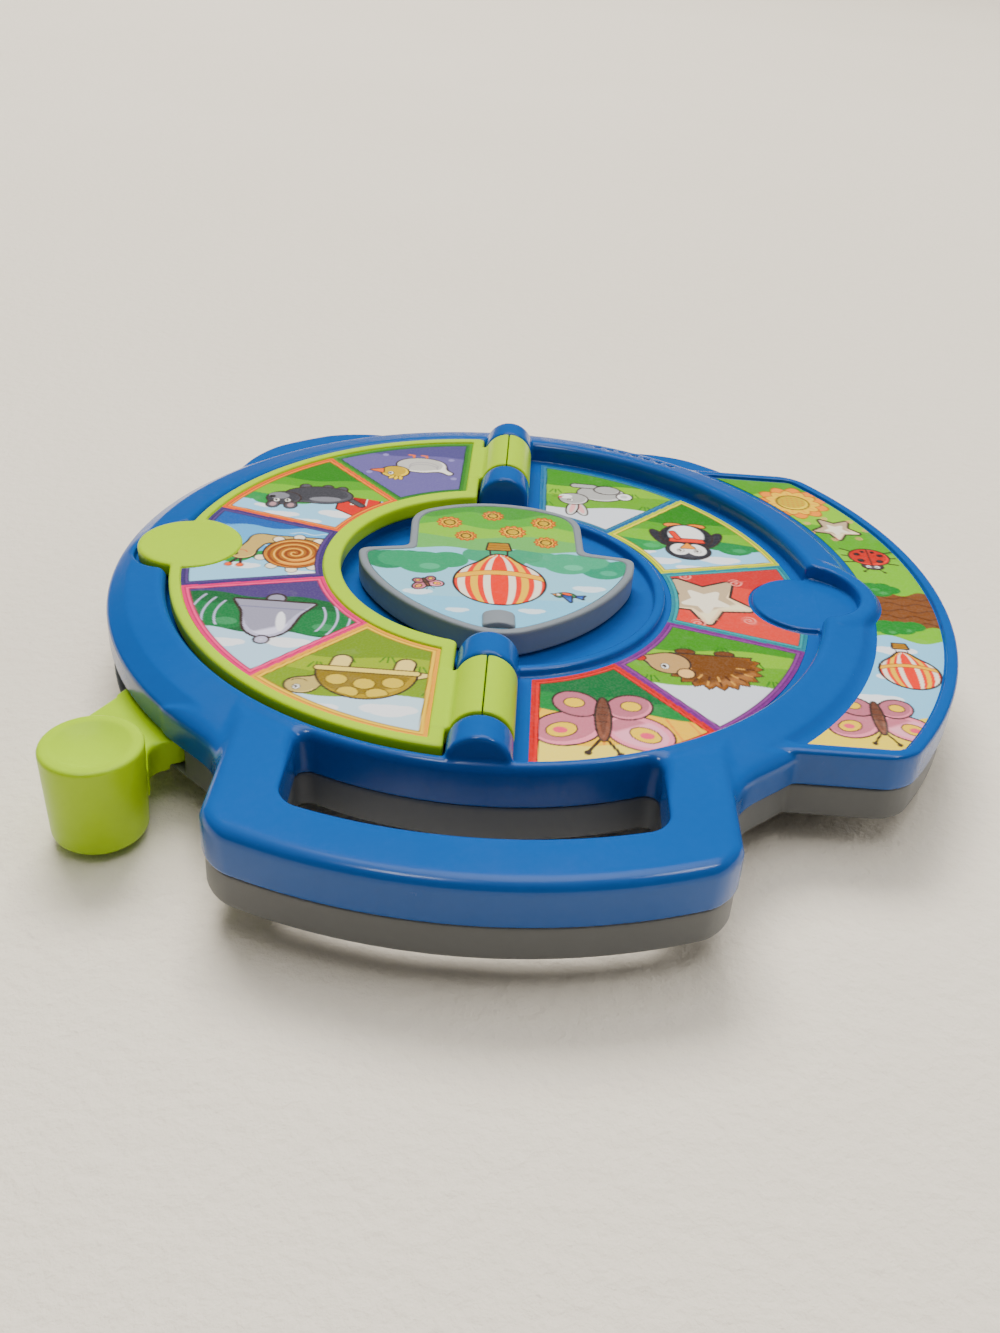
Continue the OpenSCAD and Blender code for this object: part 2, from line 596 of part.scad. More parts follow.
module spinner_bush() color("goldenrod") difference() {
    translate([0, 0, 21.4]) cylinder(r = 5, h = 3.6, $fn = 64);
    translate([0, 0, 15]) cylinder(r = shaft_r + 0.06, h = 20, $fn = 64);
}
module position_board() color([0.1, 0.4, 0.2]) difference() {
    translate([0, 0, 21.3]) cylinder(r = 23, h = 1.5, $fn = 96);
    translate([0, 0, 15]) cylinder(r = 7.2, h = 10, $fn = 64);
}

// ---------- lever ----------
module lever_fan2d() polygon([[109.2, 97], [107.9, 78.4], [99.6, 61.2], [96.5, 60], [77, 82.2], [79.9, 85], [87.2, 88.2], [84.4, 98]]);
module plate2d() polygon([[99.6, 61.2], [98, 60.4], [14, 4], [4, 14], [77, 82.2], [79.9, 85]]);
module lever_arm() color(lime) difference() {
    union() {
        // outside arm
        slab(9.1, 19.3) difference() {
            lever_fan2d();
            circle(r = body_r + 0.5, $fn = 180);
        }
        // neck through the wall
        slab(plate_z, 19.2) intersection() {
            lever_fan2d();
            circle(r = body_r + 1, $fn = 180);
        }
        // plate to the hub
        slab(plate_z, plate_z + plate_t) {
            plate2d();
            circle(r = 18, $fn = 96);
            intersection() {
                gear2d(n_sector, 0);
                polygon([[0, 0], [-60, 9], [-60, -46], [-40, -60], [0, 0]]);
            }
        }
    }
    translate([0, 0, 5]) cylinder(r = 12.06, h = 20, $fn = 96);
    translate([knob_d * cos(lever_a), knob_d * sin(lever_a), 5]) cylinder(r = 9.5, h = 20, $fn = 64);
    translate([knob_d * cos(lever_a), knob_d * sin(lever_a), 5]) rotate(lever_a - 90) translate([-30, 0.4, 0]) cube([60, 30, 20]);
}
module lever_knob() color(lime) translate([knob_d * cos(lever_a), knob_d * sin(lever_a), 0]) difference() {
    union() {
        translate([0, 0, 2]) cylinder(r1 = knob_r - 0.9, r2 = knob_r, h = knob_z - 2, $fn = 96);
    }
    translate([0, 0, knob_z + 18.7]) sphere(r = 21.3, $fn = 96);
    // socket that takes the arm
    difference() {
        translate([0, 0, 9]) cylinder(r = knob_r + 2, h = 10.4, $fn = 96);
        translate([0, 0, 8]) cylinder(r = 9.4, h = 12, $fn = 64);
        rotate(lever_a - 90) translate([-30, 0.5, 8]) cube([60, 30, 12]);
    }
}
module lever_guard() color(gray) difference() {
    slab(plate_z, 19.1) intersection() {
        difference() {
            circle(r = 114.8, $fn = 180);
            circle(r = 113.4, $fn = 180);
        }
        polygon([[0, 0], [240, -14], [300, 60], [120, 225.6]]);
    }
    slab(0, 40) lever_fan2d();
    slab(0, 40) plate2d();
}
module lever_spring() color("silver") tube(concat([[2.5, -22.4, 5.2], [5, -18.4, 5.2]],
    [for (a = [0 : 20 : 1240]) [14 * cos(a - 60), 14 * sin(a - 60), 5.2 + 5 * a / 1240]]), 0.5, 6);

// ---------- gears ----------
// involute teeth with 25 degree flanks; fill is the tooth's share of the pitch circle
pa = 25;
function inv(a) = tan(a) * 180 / PI - a;
function half_tooth(n, rho, rb) = 180 / n * tooth_fill + inv(pa) - inv(acos(min(1, rb / rho)));
function gear_pts(n) = let (r = gear_m * n / 2, rb = r * cos(pa), ro = r + 0.8 * gear_m, ri = r - 1.05 * gear_m,
    r1 = max(rb, ri + 0.15), rs = [ri, r1, r1 + (ro - r1) * 0.36, r1 + (ro - r1) * 0.7, ro],
    hs = [for (q = rs) half_tooth(n, q, rb)])
    [for (i = [0 : n - 1]) each concat(
        [for (k = [0 : 4]) rs[k] * [cos(360 * i / n - hs[k]), sin(360 * i / n - hs[k])]],
        [for (k = [4 : -1 : 0]) rs[k] * [cos(360 * i / n + hs[k]), sin(360 * i / n + hs[k])]])];
module gear2d(n, a) rotate(a) polygon(gear_pts(n));
module idler_gear() color("ivory") translate([idler_x, 0, 0]) difference() {
    union() {
        slab(plate_z - 0.2, gear_z + 0.01) gear2d(n_small, 180 / n_small);
        slab(gear_z, gear_z + 2.4) gear2d(n_big, 0);
        translate([0, 0, gear_z]) cylinder(r = 5, h = 3.2, $fn = 48);
    }
    translate([0, 0, 5]) cylinder(r = 1.55, h = 20, $fn = 32);
}
module idler_axle() color("silver") translate([idler_x, 0, 4]) cylinder(r = 1.5, h = 18, $fn = 32);
module drive_pinion() color("ivory") difference() {
    union() {
        slab(gear_z, gear_z + 2.4) gear2d(n_pinion, 180 / n_pinion);
        translate([0, 0, gear_z]) cylinder(r = 5.4, h = 3.2, $fn = 64);
    }
    translate([0, 0, 10]) cylinder(r = shaft_r + 0.06, h = 20, $fn = 64);
}
module clutch_spring() color("silver") tube([for (a = [0 : 20 : 1080]) [5.75 * cos(a), 5.75 * sin(a), 18.3 + 1.5 * a / 1080]], 0.2, 6);

top_housing();
bottom_housing();
battery_door();
battery_door_screw();
housing_screws();
batteries();
battery_plates();
battery_springs();
circuit_board();
sound_chip();
reed_switch();
power_switch();
switch_slider();
speaker_frame();
speaker_magnet();
speaker_cone();
battery_wires();
speaker_wires();
base_pictures_left();
base_pictures_right();
mural_picture();
hinge_pins();
flip_page();
hinge_caps();
page_front_pictures();
page_back_pictures();
page_magnet();
spinner_tray();
spinner_picture();
pointer_tip();
spinner_shaft();
clutch_drum();
wiper_disc();
spinner_bush();
position_board();
lever_arm();
lever_knob();
lever_guard();
lever_spring();
idler_gear();
idler_axle();
drive_pinion();
clutch_spring();
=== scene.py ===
import bpy
import math
import numpy as np
from mathutils import Matrix, Vector


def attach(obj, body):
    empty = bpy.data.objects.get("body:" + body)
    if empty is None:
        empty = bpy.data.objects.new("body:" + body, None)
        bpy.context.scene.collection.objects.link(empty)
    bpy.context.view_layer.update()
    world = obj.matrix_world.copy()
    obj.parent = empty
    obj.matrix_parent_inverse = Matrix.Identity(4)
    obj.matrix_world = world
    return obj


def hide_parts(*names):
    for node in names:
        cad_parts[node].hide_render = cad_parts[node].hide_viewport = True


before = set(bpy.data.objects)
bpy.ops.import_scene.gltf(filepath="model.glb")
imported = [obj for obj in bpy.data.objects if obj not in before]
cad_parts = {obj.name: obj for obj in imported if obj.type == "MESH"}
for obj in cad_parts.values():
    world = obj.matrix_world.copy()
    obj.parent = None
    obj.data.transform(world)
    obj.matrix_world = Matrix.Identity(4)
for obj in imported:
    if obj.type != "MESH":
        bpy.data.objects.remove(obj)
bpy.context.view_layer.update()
MM = 0.001

# ---------------------------------------------------------------- sizes, mm
BODY_R, SEAM, RIM_Z, WALL = 118.3, 19.6, 8.9, 2.2
HANDLE_Z, HANDLE_R, HANDLE_HW = 32.9, 147.87, 63.6
SLOT_RI, SLOT_RO, SLOT_HW = 104.8, 131.9, 46.5
LOBE_R, FOOT_R = 140.95, 128.2
PAGE_R, PAGE_RI, PAGE_Z, PAGE_T, TAB_R, BARREL_R = 100.0, 48.6, 34.0, 5.4, 15.5, 8.6
FLOOR_Z, WELL_R, WELL_Z, RIM_TOP, RECESS_R, PAD_Z = 26.0, 49.7, 25.0, 28.3, 101.0, 28.0
HINGE_Z = PAGE_Z - PAGE_T / 2
TAB_X, NOTCH_R = 97.0, 16.6
POINTER_R, STEM_HW, POINTER_TURN = 43.9, 28.0, 3.2
KNOB_D, KNOB_R, KNOB_Z, LEVER_A = 140.8, 13.2, 29.0, 46.55
GRAY_IN = 0.6
BOSSES = [(56.5, 119), (-56.5, 119), (78, -94.5), (-78, -94.5), (101.5, -37), (-101.5, -37), (-102.5, 34), (-60, 90)]
KNOB = (KNOB_D * math.cos(math.radians(LEVER_A)), KNOB_D * math.sin(math.radians(LEVER_A)))
FAN = [(109.2, 97), (107.9, 78.4), (99.6, 61.2), (96.5, 60), (77, 82.2), (79.9, 85), (87.2, 88.2), (84.4, 98)]


# ---------------------------------------------------------------- distance helpers
def smin(a, b, k):
    h = np.maximum(k - np.abs(a - b), 0) / k
    return np.minimum(a, b) - h * h * k * 0.25


def smax(a, b, k):
    return -smin(-a, -b, k)


def rmax(a, b, r):
    """Both at once, with the edge between them rounded to radius r."""
    a, b = a + r, b + r
    return np.minimum(np.maximum(a, b), 0) + np.hypot(np.maximum(a, 0), np.maximum(b, 0)) - r


def rmin(a, b, r):
    return -rmax(-a, -b, r)


def fillet(pts, rad, seg=6):
    out, n = [], len(pts)
    for i in range(n):
        p0, p, p1 = (np.array(pts[(i + j) % n], float) for j in (-1, 0, 1))
        r = rad[i] if isinstance(rad, (list, tuple)) else rad
        a, b = p0 - p, p1 - p
        la, lb = np.linalg.norm(a), np.linalg.norm(b)
        a, b = a / la, b / lb
        ang = math.acos(max(-1, min(1, float(a @ b))))
        if r <= 0 or ang > math.pi - 0.02:
            out.append(tuple(p))
            continue
        t = min(r / math.tan(ang / 2), 0.48 * la, 0.48 * lb)
        r2 = t * math.tan(ang / 2)
        m = a + b
        c = p + m / np.linalg.norm(m) * r2 / math.sin(ang / 2)
        s, e = p + a * t - c, p + b * t - c
        a0, a1 = math.atan2(s[1], s[0]), math.atan2(e[1], e[0])
        d = (a1 - a0 + math.pi) % (2 * math.pi) - math.pi
        out += [(c[0] + r2 * math.cos(a0 + d * q / seg), c[1] + r2 * math.sin(a0 + d * q / seg)) for q in range(seg + 1)]
    return out


def poly_d(P, X, Y):
    P = np.asarray(P, float)
    d = np.full(X.shape, 1e18)
    s = np.ones(X.shape)
    for i in range(len(P)):
        a, b = P[i], P[i - 1]
        ex, ey = b[0] - a[0], b[1] - a[1]
        if ex * ex + ey * ey < 1e-12:
            continue
        wx, wy = X - a[0], Y - a[1]
        t = np.clip((wx * ex + wy * ey) / (ex * ex + ey * ey), 0, 1)
        d = np.minimum(d, (wx - ex * t) ** 2 + (wy - ey * t) ** 2)
        c1, c2, c3 = Y >= a[1], Y < b[1], ex * wy > ey * wx
        s = np.where((c1 & c2 & c3) | (~c1 & ~c2 & ~c3), -s, s)
    return s * np.sqrt(d)


def circ(X, Y, cx, cy, r):
    return np.hypot(X - cx, Y - cy) - r


def rect(X, Y, x0, y0, x1, y1, r=0.0):
    qx, qy = np.abs(X - (x0 + x1) / 2) - (x1 - x0) / 2 + r, np.abs(Y - (y0 + y1) / 2) - (y1 - y0) / 2 + r
    return np.minimum(np.maximum(qx, qy), 0) + np.hypot(np.maximum(qx, 0), np.maximum(qy, 0)) - r


class Grid:
    """A block of sample points, in mm."""

    def __init__(self, lo, hi, h, hz):
        self.h = (h, h, hz)
        self.x, self.y = np.arange(lo[0], hi[0] + h, h), np.arange(lo[1], hi[1] + h, h)
        self.z = np.arange(lo[2], hi[2] + hz, hz).astype(np.float32)
        self.X, self.Y = np.meshgrid(self.x, self.y, indexing="ij")
        self.R = np.hypot(self.X, self.Y)

    def ext(self, d2, z0, z1, r=0.0):
        a = (d2 + r).astype(np.float32)[:, :, None]
        b = (np.abs(self.z - (z0 + z1) / 2) - (z1 - z0) / 2 + r).astype(np.float32)[None, None, :]
        return np.minimum(np.maximum(a, b), 0) + np.hypot(np.maximum(a, 0), np.maximum(b, 0)) - np.float32(r)

    def turned(self, profile, R=None, step=0.25):
        """A profile in radius and height, turned about Z."""
        R = self.R if R is None else R
        rr = np.arange(0, R.max() + 2 * step, step)
        PR, PZ = np.meshgrid(rr, self.z.astype(float), indexing="ij")
        T = poly_d(profile, PR, PZ).astype(np.float32)
        q = R / step
        i = np.clip(q.astype(np.int32), 0, len(rr) - 2)
        f = (q - i).astype(np.float32)[:, :, None]
        return T[i] * (1 - f) + T[i + 1] * f

    def rod_y(self, r, y0, y1, z, x=0.0, cap=0.0):
        """A rod along Y; cap rounds its ends."""
        a = np.hypot((self.X - x)[:, :, None], (self.z - z)[None, None, :]).astype(np.float32) - np.float32(r - cap)
        b = (np.abs(self.Y - (y0 + y1) / 2) - (y1 - y0) / 2 + cap).astype(np.float32)[:, :, None]
        return np.minimum(np.maximum(a, b), 0) + np.hypot(np.maximum(a, 0), np.maximum(b, 0)) - np.float32(cap)


def no_checkers(F):
    """Fill single grid points so that no cell face has inside and outside crosswise, which would make four faces meet at one edge."""
    for _ in range(8):
        S = F < 0
        found = 0
        for b, d in ((0, 1), (1, 2), (0, 2)):
            def part(p, q):
                s = [slice(None)] * 3
                s[b], s[d] = slice(p, F.shape[b] - 1 + p), slice(q, F.shape[d] - 1 + q)
                return S[tuple(s)]
            a, e = part(0, 0), part(1, 0)
            bad = (a == part(1, 1)) & (e == part(0, 1)) & (a != e)
            J = np.argwhere(bad)
            found += len(J)
            J[:, b] += a[bad]
            F[J[:, 0], J[:, 1], J[:, 2]] = -1e-3
        if not found:
            break
    return F


def skin(F, g):
    """Surface of F = 0 as points and quads (one point in every cell that the surface crosses)."""
    F = F.astype(np.float32)
    S = F < 0
    nx, ny, nz = F.shape
    c = np.zeros((nx - 1, ny - 1, nz - 1), np.int8)
    for dx in (0, 1):
        for dy in (0, 1):
            for dz in (0, 1):
                c += S[dx:nx - 1 + dx, dy:ny - 1 + dy, dz:nz - 1 + dz]
    act = (c > 0) & (c < 8)
    I = np.argwhere(act)
    index = np.full(act.shape, -1, np.int32)
    index[act] = np.arange(len(I), dtype=np.int32)
    off = [(a, b, d) for a in (0, 1) for b in (0, 1) for d in (0, 1)]
    V = {o: F[I[:, 0] + o[0], I[:, 1] + o[1], I[:, 2] + o[2]] for o in off}
    P = np.zeros((len(I), 3))
    n = np.zeros(len(I))
    for o in off:
        for ax in range(3):
            if o[ax]:
                continue
            e = list(o)
            e[ax] = 1
            va, vb = V[o], V[tuple(e)]
            m = (va < 0) != (vb < 0)
            t = np.where(m, va / np.where(m, va - vb, 1), 0)
            for k in range(3):
                P[:, k] += np.where(m, o[k] + (t if k == ax else 0), 0)
            n += m
    P = (I + P / n[:, None]) * np.array(g.h) + np.array([g.x[0], g.y[0], g.z[0]])
    quads = []
    for ax in range(3):
        b, d = [(1, 2), (2, 0), (0, 1)][ax]
        lo, hi = [slice(None)] * 3, [slice(None)] * 3
        lo[ax], hi[ax] = slice(0, -1), slice(1, None)
        A, B = S[tuple(lo)], S[tuple(hi)]
        E = np.argwhere(A != B)
        E = E[(E[:, b] > 0) & (E[:, d] > 0) & (E[:, b] < F.shape[b] - 1) & (E[:, d] < F.shape[d] - 1)]
        def at(ob, od):
            q = E.copy()
            q[:, b] += ob
            q[:, d] += od
            return index[q[:, 0], q[:, 1], q[:, 2]]
        Q = np.stack([at(-1, -1), at(0, -1), at(0, 0), at(-1, 0)], 1)
        inside = A[E[:, 0], E[:, 1], E[:, 2]]
        Q = np.where(inside[:, None], Q, Q[:, ::-1])
        quads.append(Q)
    return P, np.concatenate(quads)


def sample(F, g, P):
    """Value of the block F at points P, between its grid points."""
    q = (P - np.array([g.x[0], g.y[0], g.z[0]])) / np.array(g.h)
    lim = np.array(F.shape) - 1.001
    q = np.clip(q, 0, lim)
    i = q.astype(np.int32)
    f = (q - i).astype(np.float32)
    x, y, z = i[:, 0], i[:, 1], i[:, 2]
    fx, fy, fz = f[:, 0], f[:, 1], f[:, 2]
    c00 = F[x, y, z] * (1 - fx) + F[x + 1, y, z] * fx
    c10 = F[x, y + 1, z] * (1 - fx) + F[x + 1, y + 1, z] * fx
    c01 = F[x, y, z + 1] * (1 - fx) + F[x + 1, y, z + 1] * fx
    c11 = F[x, y + 1, z + 1] * (1 - fx) + F[x + 1, y + 1, z + 1] * fx
    return (c00 * (1 - fy) + c10 * fy) * (1 - fz) + (c01 * (1 - fy) + c11 * fy) * fz


def slope(F, g, P, e):
    G = np.empty(P.shape)
    for k in range(3):
        d = np.zeros(3)
        d[k] = e
        G[:, k] = (sample(F, g, P + d) - sample(F, g, P - d)) / (2 * e)
    return G


def settle(F, g, P):
    """Move the points onto the surface and give its normals."""
    e = max(g.h) * 0.5
    for _ in range(2):
        G = slope(F, g, P, e)
        n2 = np.maximum((G ** 2).sum(1), 0.05)
        step = (sample(F, g, P) / n2)[:, None] * G
        P = P - np.clip(step, -0.3 * e, 0.3 * e)
    N = slope(F, g, P, max(g.h) * 0.8)
    return P, N / np.maximum(np.linalg.norm(N, axis=1), 1e-6)[:, None]


def mesh_of(name, P, Q, smooth=True, colors=None, normals=None):
    me = bpy.data.meshes.new(name)
    me.vertices.add(len(P))
    me.vertices.foreach_set("co", (np.asarray(P, np.float64) * MM).astype(np.float32).ravel())
    groups = Q if isinstance(Q, list) else [Q]
    size = np.concatenate([np.full(len(q), q.shape[1]) for q in groups])
    corner = np.concatenate([q.ravel() for q in groups])
    me.loops.add(len(corner))
    me.loops.foreach_set("vertex_index", corner.astype(np.int32))
    me.polygons.add(len(size))
    me.polygons.foreach_set("loop_start", np.concatenate([[0], np.cumsum(size)[:-1]]).astype(np.int32))
    me.polygons.foreach_set("use_smooth", np.full(len(size), smooth))
    me.update(calc_edges=True)
    me.validate()
    if normals is not None and len(me.vertices) == len(P):
        me.normals_split_custom_set_from_vertices(normals.astype(np.float32).tolist())
    if colors is not None:
        a = me.color_attributes.new("paint", "FLOAT_COLOR", "POINT")
        c = np.ones((len(P), 4), np.float32)
        c[:, :3] = colors
        a.data.foreach_set("color", c.ravel())
    o = bpy.data.objects.new(name, me)
    bpy.context.scene.collection.objects.link(o)
    return o


def thin_out(P, Q, most=186000):
    """Fewer triangles where the surface is flat."""
    if 2 * len(Q) <= most:
        return P, Q
    o = mesh_of("thin", P, Q)
    mod = o.modifiers.new("thin", "DECIMATE")
    mod.ratio = most / (2 * len(Q))
    mod.use_collapse_triangulate = True
    me = bpy.data.meshes.new_from_object(o.evaluated_get(bpy.context.evaluated_depsgraph_get()))
    P = np.empty(3 * len(me.vertices), np.float32)
    me.vertices.foreach_get("co", P)
    Q = np.empty(len(me.loops), np.int32)
    me.loops.foreach_get("vertex_index", Q)
    old = o.data
    bpy.data.objects.remove(o)
    bpy.data.meshes.remove(old)
    bpy.data.meshes.remove(me)
    return P.reshape(-1, 3).astype(np.float64) / MM, Q.reshape(-1, 3)


def solid(name, F, g, body, nodes, mat):
    F = no_checkers(F.astype(np.float32))
    P, Q = skin(F, g)
    P, Q = thin_out(P, Q)
    P, N = settle(F, g, P)
    if Q.shape[1] == 3:
        # points that settled on one place at a crease become one, and the empty faces between them go
        _, first, same = np.unique(np.round(P / 1e-4).astype(np.int64), axis=0, return_index=True, return_inverse=True)
        P, N, Q = P[first], N[first], same.reshape(-1)[Q]
        Q = Q[(Q[:, 0] != Q[:, 1]) & (Q[:, 1] != Q[:, 2]) & (Q[:, 0] != Q[:, 2])]
    o = mesh_of(name, P, Q, normals=N)
    o.data.materials.append(mat)
    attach(o, body)
    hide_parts(*nodes)
    return o


# ---------------------------------------------------------------- materials
def lin(c):
    return tuple(((v + 0.055) / 1.055) ** 2.4 if v > 0.04045 else v / 12.92 for v in c)


def new_mat(name):
    m = bpy.data.materials.new(name)
    m.use_nodes = True
    nt = m.node_tree
    b = nt.nodes["Principled BSDF"]
    return m, nt, b


def node(nt, kind, **kw):
    n = nt.nodes.new(kind)
    for k, v in kw.items():
        if k in n.inputs:
            n.inputs[k].default_value = v
        else:
            setattr(n, k, v)
    return n


def noise(nt, co, scale, detail=3.0, rough=0.55):
    n = node(nt, "ShaderNodeTexNoise", Scale=scale, Detail=detail, Roughness=rough)
    nt.links.new(co, n.inputs["Vector"])
    return n.outputs["Fac"]


def ramp(nt, fac, stops):
    r = nt.nodes.new("ShaderNodeValToRGB")
    cr = r.color_ramp
    while len(cr.elements) < len(stops):
        cr.elements.new(0.5)
    for e, (p, c) in zip(cr.elements, stops):
        e.position = p
        e.color = (c[0], c[1], c[2], 1) if isinstance(c, (tuple, list)) else (c, c, c, 1)
    nt.links.new(fac, r.inputs["Fac"])
    return r.outputs["Color"]


def mix(nt, fac, a, b, mode="MIX"):
    n = nt.nodes.new("ShaderNodeMix")
    n.data_type = "RGBA"
    n.blend_type = mode
    for sock, v in ((n.inputs[0], fac), (n.inputs[6], a), (n.inputs[7], b)):
        if hasattr(v, "is_output"):
            nt.links.new(v, sock)
        elif isinstance(v, (int, float)):
            sock.default_value = v
        else:
            sock.default_value = (*v[:3], 1)
    return n.outputs[2]


def math_n(nt, op, a, b=0.0):
    n = nt.nodes.new("ShaderNodeMath")
    n.operation = op
    for sock, v in ((n.inputs[0], a), (n.inputs[1], b)):
        if hasattr(v, "is_output"):
            nt.links.new(v, sock)
        else:
            sock.default_value = v
    return n.outputs[0]


def plastic(name, col, rough=0.28, coat=0.3, vary=0.08, grain=0.000012, grain_scale=2600.0, wear=0.35, metallic=0.0, spec=0.5):
    """Moulded plastic: slow colour drift, fine moulding grain, hairline scuffs and paler rubbed edges."""
    m, nt, b = new_mat(name)
    co = nt.nodes.new("ShaderNodeTexCoord").outputs["Object"]
    c = lin(col)
    dark, light = tuple(v * (1 - vary) for v in c), tuple(min(1, v * (1 + vary) + 0.004) for v in c)
    base = mix(nt, noise(nt, co, 28.0, 2.0), dark, light)
    fine = noise(nt, co, 420.0, 4.0)
    base = mix(nt, ramp(nt, fine, [(0.35, 0.0), (0.75, 0.10)]), base, tuple(min(1, v * 1.25 + 0.02) for v in c))
    geo = nt.nodes.new("ShaderNodeNewGeometry")
    edge = ramp(nt, geo.outputs["Pointiness"], [(0.52, 0.0), (0.60, 1.0)])
    rub = math_n(nt, "MULTIPLY", edge, math_n(nt, "MULTIPLY", noise(nt, co, 160.0, 5.0), wear))
    base = mix(nt, rub, base, tuple(min(1, v * 0.8 + 0.14) for v in c))
    nt.links.new(base, b.inputs["Base Color"])
    mp = node(nt, "ShaderNodeMapping")
    mp.inputs["Scale"].default_value = (1.0, 9.0, 1.0)
    mp.inputs["Rotation"].default_value = (0.0, 0.0, 0.6)
    nt.links.new(co, mp.inputs["Vector"])
    scuff = ramp(nt, noise(nt, mp.outputs["Vector"], 240.0, 6.0, 0.7), [(0.58, 0.0), (0.72, 1.0)])
    r = math_n(nt, "ADD", math_n(nt, "MULTIPLY", noise(nt, co, 60.0, 4.0), 0.14), rough - 0.07)
    r = math_n(nt, "ADD", r, math_n(nt, "MULTIPLY", scuff, 0.07))
    nt.links.new(r, b.inputs["Roughness"])
    bump = node(nt, "ShaderNodeBump", Strength=1.0, Distance=grain)
    nt.links.new(noise(nt, co, grain_scale, 2.0), bump.inputs["Height"])
    nt.links.new(bump.outputs["Normal"], b.inputs["Normal"])
    b.inputs["Coat Weight"].default_value = coat
    b.inputs["Coat Roughness"].default_value = 0.12
    b.inputs["Metallic"].default_value = metallic
    b.inputs["Specular IOR Level"].default_value = spec
    return m


def metal(name, col, rough=0.32, brushed=(1.0, 1.0, 30.0)):
    m, nt, b = new_mat(name)
    co = nt.nodes.new("ShaderNodeTexCoord").outputs["Object"]
    mp = node(nt, "ShaderNodeMapping")
    mp.inputs["Scale"].default_value = brushed
    nt.links.new(co, mp.inputs["Vector"])
    n = noise(nt, mp.outputs["Vector"], 320.0, 6.0, 0.7)
    c = lin(col)
    nt.links.new(mix(nt, n, tuple(v * 0.82 for v in c), tuple(min(1, v * 1.1) for v in c)), b.inputs["Base Color"])
    nt.links.new(math_n(nt, "ADD", math_n(nt, "MULTIPLY", n, 0.25), rough - 0.12), b.inputs["Roughness"])
    bump = node(nt, "ShaderNodeBump", Strength=0.6, Distance=0.00001)
    nt.links.new(n, bump.inputs["Height"])
    nt.links.new(bump.outputs["Normal"], b.inputs["Normal"])
    b.inputs["Metallic"].default_value = 1.0
    return m


def print_mat(name):
    """Printed label film: colours painted on the mesh, dot grain, slight gloss and wrinkle."""
    m, nt, b = new_mat(name)
    co = nt.nodes.new("ShaderNodeTexCoord").outputs["Object"]
    at = nt.nodes.new("ShaderNodeVertexColor")
    at.layer_name = "paint"
    dots = noise(nt, co, 1500.0, 2.0)
    c = mix(nt, ramp(nt, dots, [(0.4, 0.0), (0.7, 0.03)]), at.outputs["Color"], (1.0, 0.99, 0.95))
    worn = ramp(nt, noise(nt, co, 90.0, 5.0, 0.65), [(0.60, 0.0), (0.78, 0.08)])
    c = mix(nt, worn, c, lin((0.86, 0.85, 0.80)))
    nt.links.new(c, b.inputs["Base Color"])
    nt.links.new(math_n(nt, "ADD", math_n(nt, "MULTIPLY", noise(nt, co, 130.0, 4.0), 0.16), 0.30), b.inputs["Roughness"])
    bump = node(nt, "ShaderNodeBump", Strength=0.5, Distance=0.00002)
    nt.links.new(noise(nt, co, 700.0, 3.0), bump.inputs["Height"])
    nt.links.new(bump.outputs["Normal"], b.inputs["Normal"])
    b.inputs["Coat Weight"].default_value = 0.05
    b.inputs["Coat Roughness"].default_value = 0.2
    b.inputs["Specular IOR Level"].default_value = 0.3
    return m


BLUE = plastic("blue_plastic", (0.012, 0.315, 0.63), rough=0.2, coat=0.06, vary=0.06, wear=0.06, spec=0.32)
GRAY = plastic("gray_plastic", (0.385, 0.395, 0.402), rough=0.42, coat=0.0, vary=0.06, wear=0.25, spec=0.3)
LIME = plastic("lime_plastic", (0.67, 0.83, 0.0), rough=0.3, coat=0.0, vary=0.05, wear=0.06, spec=0.22)
POINT = plastic("pointer_plastic", (0.50, 0.53, 0.56), rough=0.34, coat=0.05, vary=0.06, wear=0.25, spec=0.35)
WHITE = plastic("acetal", (0.88, 0.86, 0.78), rough=0.42, coat=0.0, vary=0.05, wear=0.1)
BLACK = plastic("black_plastic", (0.07, 0.07, 0.08), rough=0.45, coat=0.0, vary=0.2)
BOARD = plastic("solder_mask", (0.06, 0.34, 0.15), rough=0.35, coat=0.3, vary=0.15, grain=0.00003, grain_scale=500.0)
RESIN = plastic("chip_resin", (0.05, 0.05, 0.05), rough=0.3, coat=0.2, vary=0.3)
CELL = plastic("cell_jacket", (0.12, 0.12, 0.14), rough=0.25, coat=0.6, vary=0.2)
PAPER = plastic("cone_paper", (0.16, 0.15, 0.14), rough=0.85, coat=0.0, vary=0.25, grain=0.00006, grain_scale=900.0)
RED = plastic("wire_red", (0.72, 0.08, 0.06), rough=0.45, coat=0.0)
GLASSY = plastic("reed_glass", (0.70, 0.84, 0.80), rough=0.12, coat=0.5)
FERRITE = plastic("ferrite", (0.13, 0.13, 0.13), rough=0.6, coat=0.0, vary=0.2, grain=0.00004)
STEEL = metal("steel", (0.72, 0.72, 0.72))
ZINC = metal("zinc", (0.66, 0.66, 0.64), 0.4, (1, 1, 1))
NICKEL = metal("nickel", (0.76, 0.75, 0.72))
BRASS = metal("brass", (0.80, 0.64, 0.30))
BRONZE = metal("bronze", (0.66, 0.50, 0.28), 0.5)
PRINT = print_mat("print_film")

# ---------------------------------------------------------------- outlines, mm
def handle_d(X, Y, d=0.0, r=6.0):
    x = np.abs(X)
    side = np.maximum(x - (HANDLE_HW - d), 0.983 * (x - HANDLE_HW) + 0.184 * (Y - 128) + d)
    return np.maximum(rmax(np.hypot(X, Y) - (HANDLE_R - d), side, r), 78 - Y)


def slot_d(X, Y, g=0.0, r=5.0):
    R = np.hypot(X, Y)
    return np.maximum(rmax(np.maximum(R - SLOT_RO - g, SLOT_RI - g - R), np.abs(X) - SLOT_HW - g, r), 60 - Y)


